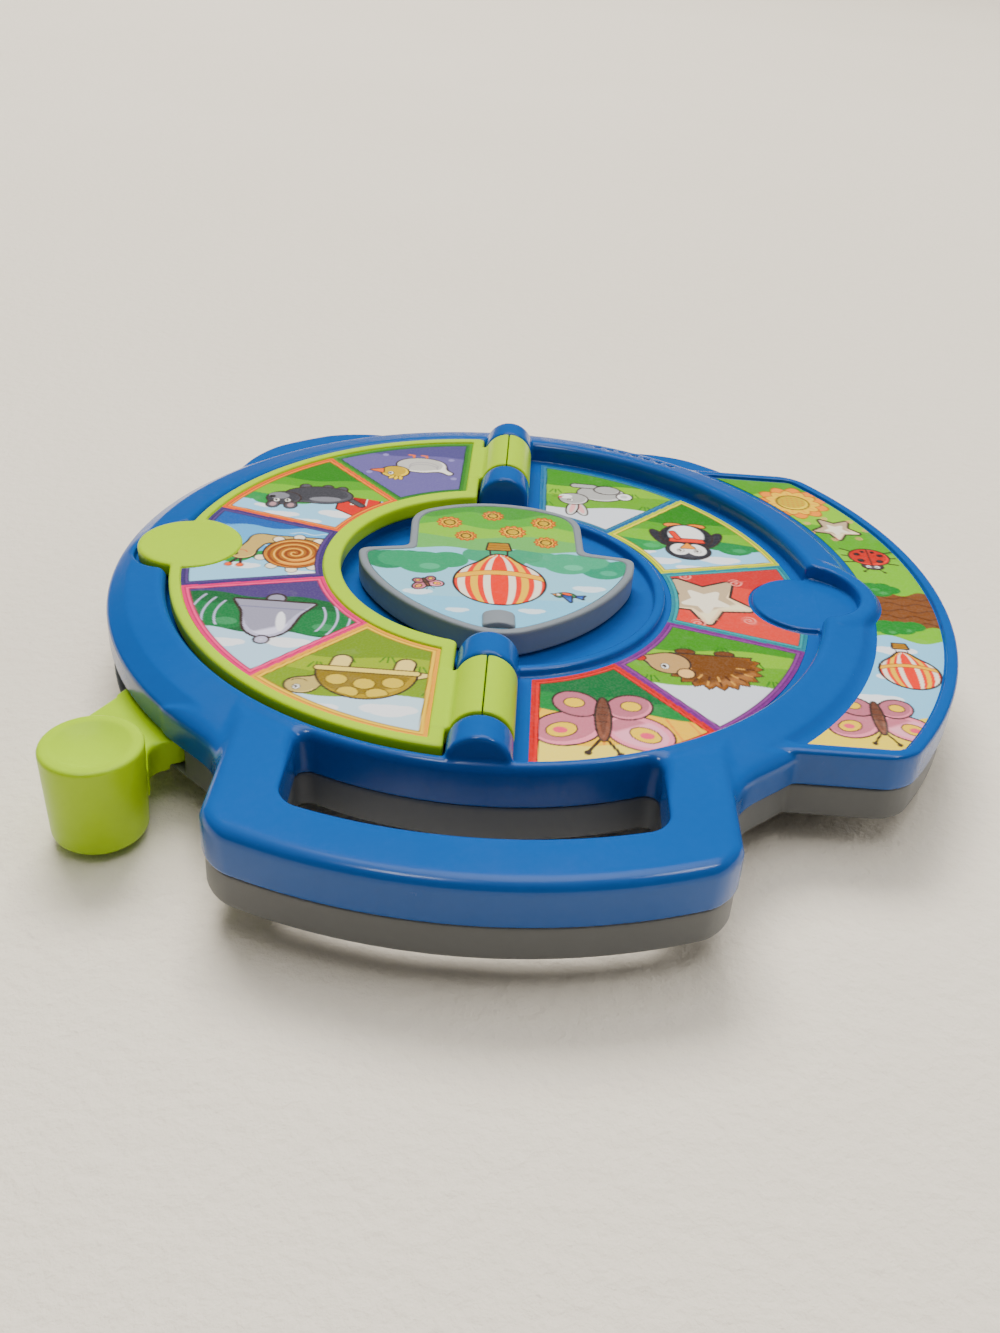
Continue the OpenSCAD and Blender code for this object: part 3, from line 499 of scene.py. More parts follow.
def lobe_d(X, Y, d=0.0, r=5.0):
    ends = np.maximum(Y - (85.4 - d), -92.5 + d - Y)
    return np.maximum(rmax(np.hypot(X, Y) - (LOBE_R - d), ends, r), X + 20)


def feet_d(X, Y, d=0.0):
    out = None
    for s in (1, -1):
        t = math.radians(-52.4)
        u = s * X * math.cos(t) + Y * math.sin(t)
        v = -s * X * math.sin(t) + Y * math.cos(t)
        side = 0.775 * (u - 127.3) + 0.632 * (np.abs(v) - 18.45) + d
        f = np.maximum(rmax(np.hypot(X, Y) - (FOOT_R - d), side, 7.0), 95 - u)
        out = f if out is None else np.minimum(out, f)
    return out


def hull_d(X, Y, d=0.0):
    """Whole outline of the case, with the handle's roots rounded into the ring."""
    a = smin(np.hypot(X, Y) - (BODY_R - d), handle_d(X, Y, d), 12.0)
    return np.minimum(a, np.minimum(lobe_d(X, Y, d), feet_d(X, Y, d)))


# ---------------------------------------------------------------- blue top shell
def top_shell():
    h = 0.7
    g = Grid((-143, -120.4, SEAM - 1.6), (121, 150.4, 41.6), h, 0.45)
    X, Y, R = g.X, g.Y, g.R
    prof = fillet([(0, -60), (BODY_R, -60), (BODY_R, 28.2), (112.5, 31.45), (102.5, 33.35), (0, 33.35)], [0, 0, 1.8, 3.0, 0, 0])
    F = g.turned(prof)
    # recess for the page, cut while only the ring is there, so its lip is softly rounded
    F = rmax(F, -g.ext(R - RECESS_R, FLOOR_Z, 90), np.float32(3.2))
    hd = np.maximum(handle_d(X, Y), 106.0 - R)
    F = smin(F, g.ext(hd, -60, HANDLE_Z, 3.8), 2.0)
    root = np.maximum(smin(R - BODY_R, handle_d(X, Y), 12.0), 110.0 - R)
    near = (0.05 + 1.95 * np.clip((130 - R) / 8, 0, 1)).astype(np.float32)[:, :, None]
    F = smin(F, g.ext(np.maximum(root, 84 - Y), -60, 30.6, 4.0), near)
    lobe = g.ext(np.maximum(lobe_d(X, Y), 106 - R), -60, 30.7, 1.4)
    lobe = smax(lobe, -g.ext(np.maximum(lobe_d(X, Y, 3.6, 2.5), 113.0 - R), 29.4, 60, 0.2), 0.4)
    F = smin(F, lobe, 0.8)
    F = smin(F, g.ext(np.maximum(feet_d(X, Y), 106 - R), -60, 28.0, 2.2), 1.2)
    F = smin(F, g.ext(np.maximum(circ(X, Y, -TAB_X, 0, 22.8), 104.5 - R), -60, 32.4, 3.2), 2.0)
    lip = g.turned(fillet([(WELL_R, 0), (WELL_R, RIM_TOP), (WELL_R + 3.4, RIM_TOP), (WELL_R + 3.9, FLOOR_Z - 1), (WELL_R + 3.9, 0)], [0, 1.3, 1.3, 0, 0]))
    F = smin(F, lip, 0.8)
    F = smax(F, -g.ext(R - WELL_R, WELL_Z, 90), 0.9)
    for s in (1, -1):
        pad = np.maximum(circ(X, Y, s * TAB_X, 0, NOTCH_R - 0.4), R - RECESS_R - 3)
        F = smin(F, g.ext(pad, 10, PAD_Z, 0.3), 0.8)
        F = smax(F, -g.ext(circ(X, Y, s * TAB_X, 0, NOTCH_R), PAD_Z, 90), 1.6)
    # knuckles with their straight sides and blunt ends, then room for the barrels
    for s in (1, -1):
        for y0, y1 in ((51.0, 63.2), (92.1, 103.2)):
            a, b = sorted((s * y0, s * y1))
            k = np.hypot(X[:, :, None], (g.z - HINGE_Z)[None, None, :]).astype(np.float32) - np.float32(BARREL_R)
            k = np.minimum(k, g.ext(np.abs(X) - BARREL_R, 10, HINGE_Z))
            ends = (np.abs(Y - (a + b) / 2) - (b - a) / 2).astype(np.float32)[:, :, None] + np.zeros_like(k)
            F = smin(F, rmax(k, ends, np.float32(1.5)), 0.8)
        a, b = sorted((s * 63.5, s * 91.8))
        F = smax(F, -g.rod_y(9.2, a, b, HINGE_Z), 0.5)
        F = smax(F, -g.ext(rect(X, Y, -9.2, a, 9.2, b), HINGE_Z - 3, 90), 0.5)
    soft = (0.9 + 2.1 * np.clip((122 - R) / 10, 0, 1)).astype(np.float32)[:, :, None]
    F = rmax(F, -g.ext(slot_d(X, Y), -90, 90), soft)
    # hollow, open below
    inner = F + WALL
    F = np.maximum(F, -inner)
    for i in range(7):
        t = math.radians(-108 - 2.6 * i)
        F = smax(F, -g.ext(circ(X, Y, 109 * math.cos(t), 109 * math.sin(t), 1.15), 20, 60), 0.3)
    F = smax(F, (SEAM + 0.12 - g.z)[None, None, :] + np.zeros_like(F), 0.8)
    return solid("top_shell", F, g, "housing", ["top_housing"], BLUE)


# ---------------------------------------------------------------- gray bottom shell
def bottom_shell():
    h = 0.75
    g = Grid((-143, -120.4, -1.0), (121, 150.4, SEAM + 1.4), h, 0.5)
    X, Y, R = g.X, g.Y, g.R
    F = g.ext(hull_d(X, Y, GRAY_IN), RIM_Z, 60, 1.8)
    pan = g.turned(fillet([(0, 1.0), (86, 1.0), (92, RIM_Z + 0.5), (92, 60), (0, 60)], [0, 2.0, 0, 0, 0]))
    F = smin(F, pan, 1.5)
    F = rmax(F, -g.ext(slot_d(X, Y, 0.3), -90, 90), np.float32(1.2))
    shell = np.maximum(F, -(F + WALL))
    # screw bosses, battery box, hub boss, axle post
    for x, y in BOSSES:
        shell = smin(shell, g.ext(circ(X, Y, x, y, 4.4), RIM_Z + 1, SEAM, 0.3), 0.6)
    box = np.maximum(rect(X, Y, -31.5, -81, 31.5, -45.8, 1.0), -rect(X, Y, -28.5, -79.4, 28.5, -47.8, 0.5))
    shell = smin(shell, g.ext(box, 2.0, 20.0, 0.2), 0.6)
    shell = smin(shell, np.maximum(g.ext(rect(X, Y, -31.5, -81, 31.5, -45.8, 1.0), 18.4, 20.0, 0.2), 0 * shell - 9), 0.5)
    shell = smin(shell, g.ext(circ(X, Y, 0, 0, 12), 2, 15, 0.4), 0.8)
    shell = smin(shell, g.ext(circ(X, Y, -48, 0, 4), 2, 11.2, 0.3), 0.8)
    for a in (45, 135, 225, 315):
        t = math.radians(a)
        shell = smin(shell, g.ext(circ(X, Y, 76 * math.cos(t), 76 * math.sin(t), 6), 0, 2.4, 0.5), 0.6)
    shell = smin(shell, g.ext(circ(X, Y, 0, 0, 10), 0, 2.4, 0.5), 0.6)
    shell = smin(shell, g.ext(circ(X, Y, 0, -44.6, 3.6), 2, 13, 0.3), 0.6)
    # cuts
    cut = [g.ext(rect(X, Y, -28.5, -79.4, 28.5, -47.8, 0.5), -5, 18.4),
           g.ext(rect(X, Y, -29.7, -80.1, 29.7, -47.1, 1.0), -5, 3.2),
           g.ext(rect(X, Y, -5.2, -48, 5.2, -40.8, 1.0), -5, 3.2),
           g.ext(rect(X, Y, 46, -31.2, 60, -25.8, 0.8), -5, 6),
           g.ext(circ(X, Y, 0, 0, 3.06), 6, 40),
           g.ext(circ(X, Y, -48, 0, 1.5), 4, 40)]
    for c in cut:
        shell = smax(shell, -c, 0.4)
    for x, y in BOSSES:
        shell = smax(shell, -g.ext(circ(X, Y, x, y, 3.1), -5, RIM_Z + 4), 0.7)
        shell = smax(shell, -g.ext(circ(X, Y, x, y, 1.6), -5, 60), 0.3)
    ang = np.degrees(np.arctan2(Y, X))
    gap = np.maximum(np.maximum(0.5 - ang, ang - 48.6) * np.maximum(R, 1) * math.pi / 180, 109.5 - R)
    shell = smax(shell, -g.ext(gap, RIM_Z + WALL, 60), 0.6)
    shell = smax(shell, (g.z - (SEAM - 0.12))[None, None, :] + np.zeros_like(shell), 0.6)
    return solid("bottom_shell", shell, g, "housing", ["bottom_housing"], GRAY)


# ---------------------------------------------------------------- lime page
def page_d(X, Y, d=0.0, x0=9.2):
    R = np.hypot(X, Y)
    a = np.maximum(R - (PAGE_R - d), PAGE_RI + d - R)
    return smax(a, (x0 + d) - X, 1.6)


def flip_page():
    h = 0.5
    g = Grid((-1.2, -101.2, HINGE_Z - BARREL_R - 1.2), (114, 101.2, HINGE_Z + BARREL_R + 1.2), h, 0.4)
    X, Y, R = g.X, g.Y, g.R
    z0, z1 = PAGE_Z - PAGE_T, PAGE_Z
    F = g.ext(page_d(X, Y), z0, z1, 1.1)
    tabc = circ(X, Y, TAB_X, 0, TAB_R + 1.0)
    pocket = np.maximum(np.maximum(np.maximum(R - 96.6, 54.0 - R), 13.2 - X), -tabc)
    F = smax(F, -g.ext(pocket, z1 - 1.0, 60), 0.7)
    F = smax(F, -g.ext(pocket, -60, z0 + 1.0), 0.7)
    tab = g.ext(circ(X, Y, TAB_X, 0, TAB_R), z0, z1, 1.5)
    F = smin(F, tab, 0.6)
    dish = np.sqrt(((X - TAB_X) ** 2 + Y ** 2)[:, :, None] + (g.z[None, None, :] - (z1 + 74.0 - 1.0)) ** 2) - 74.0
    F = smax(F, -dish.astype(np.float32), 1.6)
    for s in (1, -1):
        a, b = sorted((s * 63.9, s * 91.4))
        bar = g.rod_y(BARREL_R, a, b, HINGE_Z, cap=0.7)
        web = g.ext(rect(X, Y, 0.5, a, 13.0, b, 0.3), z0, z1, 0.5)
        F = smin(F, smin(bar, web, 1.2), 0.8)
    F = np.maximum(F, -g.rod_y(2.2, -95, -60, HINGE_Z))
    F = np.maximum(F, -g.rod_y(2.2, 60, 95, HINGE_Z))
    F = smax(F, (0.18 - g.X)[:, :, None] + np.zeros_like(F), 0.35)
    F = smax(F, -g.ext(circ(X, Y, TAB_X + 3, 0, 4), -60, z0 + 2.0), 0.4)
    solid("page_frame", F, g, "page", ["flip_page"], LIME)
    g = Grid((-10, -92.6, HINGE_Z - BARREL_R - 1.2), (1.0, 92.6, HINGE_Z + BARREL_R + 1.2), 0.5, 0.4)
    F = np.minimum(g.rod_y(BARREL_R, 63.9, 91.4, HINGE_Z, cap=0.7), g.rod_y(BARREL_R, -91.4, -63.9, HINGE_Z, cap=0.7))
    F = np.maximum(F, -g.rod_y(2.2, -95, -60, HINGE_Z))
    F = np.maximum(F, -g.rod_y(2.2, 60, 95, HINGE_Z))
    F = smax(F, (g.X + 0.12)[:, :, None] + np.zeros_like(F), 0.35)
    solid("hinge_halves", F, g, "page", ["hinge_caps"], LIME)


# ---------------------------------------------------------------- pointer
def turned_xy(X, Y, deg=-POINTER_TURN):
    c, s = math.cos(math.radians(deg)), math.sin(math.radians(deg))
    return c * X - s * Y, s * X + c * Y


def pointer_d(X, Y, d=0.0):
    x, y = turned_xy(X, Y)
    r = 69.5 - d
    a = smax(circ(x, y, -22.5, -21.7, r), circ(x, y, 22.5, -21.7, r), 6.0)
    a = smax(a, np.abs(x) - (POINTER_R - d), 3.0)
    low = poly_d([(-60, -4.2 + d), (-STEM_HW, -10.2 + d), (STEM_HW, -10.2 + d), (60, -4.2 + d), (60, 60), (-60, 60)], x, y)
    a = smax(a, low, 3.0)
    b = smax(np.hypot(x, y) - (POINTER_R - d), np.abs(x) - (STEM_HW - d), 5.0)
    b = np.maximum(b, y - 4)
    return smin(a, b, 3.0)


def pointer():
    g = Grid((-46, -46, 24.9), (46, 46, PAGE_Z + 1), 0.35, 0.3)
    X, Y = g.X, g.Y
    F = g.ext(pointer_d(X, Y), 25.7, PAGE_Z, 1.0)
    F = smax(F, -g.ext(pointer_d(X, Y, 2.4), PAGE_Z - 0.55, 60), 0.5)
    F = np.maximum(F, -g.ext(pointer_d(X, Y, 1.8), 0, 31.0))
    F = smin(F, g.ext(circ(X, Y, 0, 0, 6.5), 25.7, 31.5, 0.2), 0.5)
    F = np.maximum(F, -g.ext(circ(X, Y, 0, 0, 3.0), 0, 32))
    x, y = turned_xy(X, Y)
    F = smin(F, g.ext(rect(x, y, -5.8, 31.2, 5.8, 41.0, 1.5), 31, 33.5, 0.2), 0.5)
    solid("pointer_body", F, g, "spinner", ["spinner_tray"], POINT)
    g = Grid((-14, 26, 30.6), (12, 46, 37.4), 0.3, 0.2)
    x, y = turned_xy(g.X, g.Y)
    bow = np.hypot(x[:, :, None], g.z[None, None, :] - 25.2).astype(np.float32) - np.float32(10.5)
    F = rmax(g.ext(rect(x, y, -4.9, 31.7, 4.9, 39.5, 1.2), 33.5, 37.0, 0.2), bow, np.float32(0.7))
    F = smin(F, g.ext(rect(x, y, -1.8, 33.7, 1.8, 37.3, 0.2), 31.2, 34.2), 0.3)
    solid("tip_tab", F, g, "spinner", ["pointer_tip"], POINT)


# ---------------------------------------------------------------- lever
def lever():
    g = Grid((76, 58, 1.0), (113, 118, 31), 0.4, 0.4)
    X, Y = g.X, g.Y
    rr = np.hypot(X - KNOB[0], Y - KNOB[1])
    prof = [(0, 2), (KNOB_R - 0.9, 2), (KNOB_R, KNOB_Z), (10.5, KNOB_Z)] + [(q, KNOB_Z - 2.6 * (1 - (q / 10.2) ** 2)) for q in np.linspace(9.8, 0, 9)]
    F = g.turned(fillet(prof, [0, 2.4, 1.4, 1.2] + [0] * 9), R=rr, step=0.15)
    o = solid("knob", F, g, "lever", ["lever_knob"], LIME)
    g = Grid((-46, -46, 8.2), (113, 118, 20.6), 0.55, 0.4)
    X, Y, R = g.X, g.Y, g.R
    fan = poly_d(fillet([(109.2, 97), (107.9, 78.4), (99.6, 61.2), (96.5, 60), (77, 82.2), (79.9, 85), (87.2, 88.2), (84.4, 98)], [0, 12, 0, 0, 0, 0, 8, 0]), X, Y)
    rr = np.hypot(X - KNOB[0], Y - KNOB[1])
    outer = g.ext(np.maximum(np.maximum(fan, BODY_R + 0.5 - R), 12.3 - rr), 9.1, 19.3, 1.8)
    neck = g.ext(np.maximum(fan, R - BODY_R - 3), 11.6, 19.2, 0.4)
    plate = g.ext(np.minimum(poly_d([(99.6, 61.2), (98, 60.4), (14, 4), (4, 14), (77, 82.2), (79.9, 85)], X, Y), R - 18), 11.6, 14.6, 0.2)
    ang = np.degrees(np.arctan2(Y, X)) % 360
    F = np.minimum(np.minimum(outer, neck), plate)
    # toothed part, the same involute teeth as the real gear
    m, n, fill = 1.6, 50, 0.46
    rp, rb = m * n / 2, m * n / 2 * math.cos(math.radians(25))
    inv = lambda a: np.tan(a) - a
    half = math.pi / n * fill + inv(math.radians(25)) - inv(np.arccos(np.clip(rb / np.maximum(R, rb + 1e-6), 0, 1)))
    da = np.abs((np.radians(ang) + math.pi / n) % (2 * math.pi / n) - math.pi / n)
    tooth = np.maximum((da - half) * R, np.maximum(R - rp - 0.8 * m, 20 - R))
    body = np.minimum(tooth, R - (rp - 1.05 * m))
    wedge = np.maximum(np.maximum(171.5 - ang, ang - 236), 0) * R * math.pi / 180
    sector = np.maximum(body, np.where(wedge > 0, wedge, -1e3))
    F = np.minimum(F, g.ext(sector, 11.6, 14.6))
    F = np.maximum(F, -g.ext(R - 12.06, 0, 60))
    solid("arm", F, g, "lever", ["lever_arm"], LIME)


# ---------------------------------------------------------------- painted pictures
class Paint:
    """Colours over points, in mm; shapes are laid one on the other."""

    def __init__(self, x, y, col):
        self.x, self.y = x, y
        self.c = np.empty(x.shape + (3,))
        self.c[...] = lin(col)
        self.aa = 0.22

    def frame(self, cx, cy, scale=1.0, turn=0.0):
        t = math.radians(-turn)
        dx, dy = (self.x - cx) / scale, (self.y - cy) / scale
        self.s = scale
        self.u, self.v = math.cos(t) * dx - math.sin(t) * dy, math.sin(t) * dx + math.cos(t) * dy
        return self

    def put(self, d, col, clip=None):
        a = np.clip(0.5 - d * self.s / self.aa, 0, 1)
        if clip is not None:
            a = a * np.clip(0.5 - clip * self.s / self.aa, 0, 1)
        col = np.array(lin(col)) if not isinstance(col, np.ndarray) else col
        self.c = self.c * (1 - a[..., None]) + col * a[..., None]
        return self

    def line(self, d, col, w=0.45, clip=None):
        return self.put(np.abs(d) - w / 2 / self.s, col, clip)

    def both(self, d, col, ink=(0.22, 0.16, 0.14), w=0.5, clip=None):
        self.put(d, col, clip)
        return self.line(d, ink, w, clip)

    def ell(self, cx, cy, rx, ry, turn=0.0):
        t = math.radians(-turn)
        dx, dy = self.u - cx, self.v - cy
        p, q = (math.cos(t) * dx - math.sin(t) * dy) / rx, (math.sin(t) * dx + math.cos(t) * dy) / ry
        k = np.hypot(p, q)
        g = np.hypot(p / rx, q / ry)
        return np.where(k > 1e-6, k * (k - 1) / np.maximum(g, 1e-6), -min(rx, ry))

    def seg(self, ax, ay, bx, by, r):
        dx, dy = bx - ax, by - ay
        t = np.clip(((self.u - ax) * dx + (self.v - ay) * dy) / (dx * dx + dy * dy), 0, 1)
        return np.hypot(self.u - ax - t * dx, self.v - ay - t * dy) - r

    def poly(self, P, r=0.0):
        return poly_d(P, self.u, self.v) - r


INK = (0.20, 0.15, 0.14)


def shade(p, d, col, lift=0.10, ux=-0.3, uy=0.5, k=0.45):
    """A lighter patch on one side of a shape and a darker rim on the other."""
    hi = tuple(min(1, v + lift) for v in col)
    lo = tuple(v * 0.80 for v in col)
    p.put(np.maximum(d, d + k * 1.6 + (p.u * ux + p.v * uy) * 0.35), lo)
    p.put(np.maximum(d + 1.3, -(p.u * ux + p.v * uy) * 0.3 + 0.9), hi)


def body(p, d, col, w=0.62, lift=0.09):
    p.put(d, col)
    shade(p, d, col, lift)
    p.line(d, INK, w)
    return p


def eye(p, x, y, r=1.0):
    p.put(p.ell(x, y, r, r * 1.15), (1, 1, 0.98)).line(p.ell(x, y, r, r * 1.15), INK, 0.25)
    p.put(p.ell(x + r * 0.2, y, r * 0.55, r * 0.7), INK).put(p.ell(x + r * 0.45, y + r * 0.35, r * 0.2, r * 0.2), (1, 1, 1))


def m_snail(p, shell=(0.80, 0.52, 0.26), skin_c=(0.97, 0.84, 0.56)):
    b = smin(p.seg(-10.6, -5.4, 7.6, -5.4, 2.1), p.seg(7.6, -5.0, 9.8, 1.6, 2.3), 2.0)
    b = smin(b, p.ell(10.6, 3.2, 3.2, 2.8), 1.5)
    for k in (9.2, 12.0):
        p.put(p.seg(10.6, 4.8, k + 0.6, 9.0, 0.42), INK).both(p.ell(k + 0.7, 9.4, 0.95, 0.95), (0.95, 0.42, 0.24), w=0.3)
    body(p, b, skin_c)
    p.put(p.ell(12.0, 3.6, 0.6, 0.75), INK)
    p.line(np.maximum(np.abs(np.hypot(p.u - 11.2, p.v - 3.4) - 2.0), p.v - 2.4), (0.75, 0.30, 0.22), 0.35)
    r, t = np.hypot(p.u + 2.2, p.v - 1.4), np.arctan2(p.v - 1.4, p.u + 2.2)
    e = r - 7.8
    body(p, e, shell)
    sw = np.abs(((r / 2.1 - t / (2 * math.pi)) + 0.5) % 1 - 0.5) * 2.1 - 0.34
    p.put(np.maximum(sw, e + 0.5), (0.50, 0.26, 0.13))
    q = np.abs(((r / 2.1 - t / (2 * math.pi)) + 0.1) % 1 - 0.5) * 2.1 - 0.22
    p.put(np.maximum(q, e + 0.8), (0.96, 0.74, 0.42))
    for k in range(9):
        a = 0.4 + k * 0.62
        p.put(np.maximum(p.ell(-2.2 + 8.6 * math.cos(a), 1.4 + 8.6 * math.sin(a), 1.5, 1.5), -e), (0.98, 0.93, 0.84)).line(
            np.maximum(p.ell(-2.2 + 8.6 * math.cos(a), 1.4 + 8.6 * math.sin(a), 1.5, 1.5), -e), INK, 0.35)


def m_chick(p, c=(0.99, 0.84, 0.30), w2=(0.98, 0.97, 0.94)):
    for a in (-3.0, 1.2):
        p.put(p.seg(a, -6, a + 0.4, -9.2, 0.4), (0.93, 0.48, 0.12)).put(p.seg(a + 0.4, -9.2, a + 2.0, -9.4, 0.4), (0.93, 0.48, 0.12))
    body(p, smin(p.ell(-1.6, -1.6, 8.2, 5.8), p.seg(-7, 0, -11.0, 3.6, 1.3), 2.5), w2)
    for k in (-1.2, 0.4):
        p.line(np.maximum(np.abs(p.ell(-2.4, 0.4 + k, 4.6, 3.2)), p.v - 0.6 - k), (0.62, 0.60, 0.62), 0.4)
    body(p, p.ell(6.4, 4.8, 4.6, 4.4), c)
    p.both(p.poly([(10.2, 5.8), (14.0, 4.4), (10.4, 3.2)], 0.4), (0.96, 0.50, 0.14), w=0.45)
    eye(p, 7.6, 6.0, 0.95)
    for k in (-1.0, 0.4, 1.8):
        p.both(p.ell(5.2 + k, 9.6 - abs(k) * 0.3, 0.8, 1.5, k * -14), c, w=0.35)


def m_mole(p, c=(0.30, 0.30, 0.33), hi=(0.50, 0.50, 0.53)):
    for a, b in ((-7, -5.6), (-2.6, -6.2), (4.0, -6.0)):
        p.both(p.seg(a, -3, a, b, 1.6), c, w=0.6)
    p.both(p.seg(-9.5, 0.5, -14.0, 4.8, 1.0), c, w=0.6)
    body(p, smin(p.ell(-1.4, -0.6, 9.4, 5.8), p.ell(5.0, 0.6, 4.6, 4.4), 2.0), c)
    body(p, p.ell(9.0, 3.0, 5.0, 4.4), c)
    for a in (6.2, 11.4):
        p.both(p.ell(a, 7.6, 1.9, 2.3), c, w=0.55).put(p.ell(a, 7.5, 1.0, 1.3), (0.70, 0.56, 0.58))
    p.put(p.ell(10.6, 1.6, 3.0, 2.2), hi)
    p.put(p.ell(12.4, 2.4, 1.0, 0.8), (0.12, 0.10, 0.10))
    eye(p, 7.6, 4.4, 0.95)
    eye(p, 10.8, 4.6, 0.95)
    p.put(p.ell(-3.0, 2.0, 4.6, 1.6, 6), hi)


def m_turtle(p, shell=(0.66, 0.56, 0.24), skin_c=(0.95, 0.86, 0.58)):
    for a, b in ((-7.2, -4.6), (6.2, -4.6)):
        p.both(p.seg(a, b + 1.6, a - 0.6, b - 2.2, 2.1), skin_c, w=0.6)
    body(p, smin(p.seg(7, -0.6, 11.0, 2.4, 1.9), p.ell(12.6, 3.6, 3.5, 3.0), 1.4), skin_c)
    p.both(p.poly([(-10, -1.4), (-13.8, -3.2), (-9.6, -3.8)], 0.4), skin_c, w=0.5)
    e = np.maximum(p.ell(0, -3.0, 10.6, 10.2), -3.2 - p.v)
    body(p, e, shell)
    for c, d in ((-5.8, 0.6), (0, 1.6), (5.8, 0.6), (-3.0, 5.0), (3.0, 5.0)):
        q = np.maximum(p.ell(c, d, 2.3, 2.0), e + 0.6)
        p.put(q, (0.86, 0.76, 0.40)).line(q, (0.40, 0.32, 0.14), 0.35)
    p.both(p.seg(-10.2, -3.4, 10.2, -3.4, 0.95), (0.95, 0.86, 0.52), w=0.5)
    eye(p, 13.4, 4.4, 0.8)
    p.line(np.maximum(np.abs(np.hypot(p.u - 13.2, p.v - 3.4) - 2.0), p.v - 2.2), INK, 0.3)


def m_bell(p, c=(0.74, 0.73, 0.82)):
    e = smin(p.ell(0, 2.2, 6.0, 7.6), p.poly([(-5, 1), (5, 1), (9, -6.4), (-9, -6.4)], 0.6), 2.4)
    body(p, p.ell(0, -8.0, 2.2, 2.2), c, 0.8)
    body(p, e, c, 0.9, 0.14)
    body(p, p.ell(0, 10.6, 1.7, 1.7), c, 0.7)
    p.put(p.ell(-2.8, 2.2, 1.1, 4.4, 8), (0.97, 0.97, 1))
    p.line(np.maximum(np.abs(p.v + 3.6), e + 0.4), (0.46, 0.45, 0.56), 0.5)
    for s in (-1, 1):
        for r in (12.6, 15.4, 18.2):
            p.line(np.maximum(np.abs(np.hypot(p.u, p.v) - r), np.abs(np.degrees(np.arctan2(p.v, p.u * s))) * 0.2 - 5), (0.78, 0.76, 0.90), 0.55)


def m_penguin(p, c=(0.16, 0.16, 0.19)):
    for s in (-1, 1):
        p.both(p.ell(s * 3.4, -10.2, 3.0, 1.5), (0.96, 0.56, 0.20), w=0.5)
        p.both(p.ell(s * 8.0, -1.4, 1.9, 5.4, s * 24), c, w=0.6)
    body(p, p.ell(0, -2.8, 7.8, 7.8), c)
    p.put(p.ell(0, -3.8, 5.4, 6.4), (0.98, 0.98, 0.97)).line(p.ell(0, -3.8, 5.4, 6.4), (0.60, 0.62, 0.66), 0.3)
    body(p, p.ell(0, 6.2, 6.6, 5.8), c)
    for s in (-1, 1):
        p.put(p.ell(s * 2.4, 5.6, 2.9, 3.6, s * -8), (0.98, 0.98, 0.97))
    p.both(p.poly([(-1.7, 4.6), (1.7, 4.6), (0, 1.9)], 0.5), (0.98, 0.62, 0.16), w=0.4)
    eye(p, -2.7, 6.4, 1.0)
    eye(p, 2.3, 6.4, 1.0)
    p.both(p.poly([(-5, 0.6), (5, 0.6), (4.6, -1.2), (-4.6, -1.2)], 0.4), (0.88, 0.28, 0.22), w=0.45)
    p.both(p.seg(2.6, -1.4, 4.0, -5.2, 1.0), (0.88, 0.28, 0.22), w=0.45)


def m_hedgehog(p, c=(0.52, 0.33, 0.18), face=(0.93, 0.76, 0.54)):
    n, r, t = 22, np.hypot(p.u + 1.0, (p.v + 1.0) * 1.15), np.arctan2((p.v + 1.0) * 1.15, p.u + 1.0)
    saw = np.abs(((t / (2 * math.pi) * n) % 1) - 0.5) * 3.4
    e = np.maximum(r - 10.2 - saw + 0.8, -5.4 - p.v)
    for a in (-4, 4.6):
        p.both(p.ell(a, -6.2, 2.2, 1.2), (0.40, 0.24, 0.14), w=0.5)
    body(p, e, c)
    for k, rr in ((0, 7.4), (9, 5.2)):
        for i in range(9):
            a = 0.35 + i * 0.34
            x, y = -1.0 + rr * math.cos(a), -1.0 + rr * math.sin(a) / 1.15
            p.put(p.seg(x, y, x + 1.5 * math.cos(a), y + 1.5 * math.sin(a), 0.26), (0.80, 0.60, 0.36) if (i + k) % 2 else (0.30, 0.17, 0.10))
    body(p, smin(p.ell(8.4, -1.0, 4.6, 4.2), p.seg(9, -2, 13.4, -2.6, 1.2), 1.8), face)
    p.both(p.ell(14.6, -2.4, 1.3, 1.2), (0.72, 0.20, 0.14), w=0.4)
    eye(p, 9.4, 0.4, 0.95)
    p.both(p.ell(5.0, 2.8, 1.9, 1.9), face, w=0.5)


def m_butterfly(p, a=(0.95, 0.58, 0.66), b=(0.99, 0.82, 0.40)):
    for s in (-1, 1):
        w = p.ell(s * 7.4, 4.4, 7.6, 5.8, s * 28)
        body(p, w, a)
        p.both(p.ell(s * 8.6, 5.0, 3.4, 2.5, s * 28), b, w=0.4).put(p.ell(s * 8.9, 5.2, 1.5, 1.1), (0.90, 0.34, 0.46))
        w = p.ell(s * 5.6, -4.8, 5.2, 4.4, s * -32)
        body(p, w, tuple(v * 0.94 for v in a))
        p.both(p.ell(s * 6.0, -5.2, 2.2, 1.8), b, w=0.35)
        p.put(p.seg(s * 0.5, 7.2, s * 3.2, 12.2, 0.36), INK).put(p.ell(s * 3.3, 12.5, 0.8, 0.8), INK)
    body(p, p.ell(0, 0.2, 1.7, 8.0), (0.50, 0.32, 0.26))
    for k in (-4, -1.4, 1.2):
        p.line(np.maximum(np.abs(p.v - k), np.abs(p.u) - 1.2), INK, 0.3)


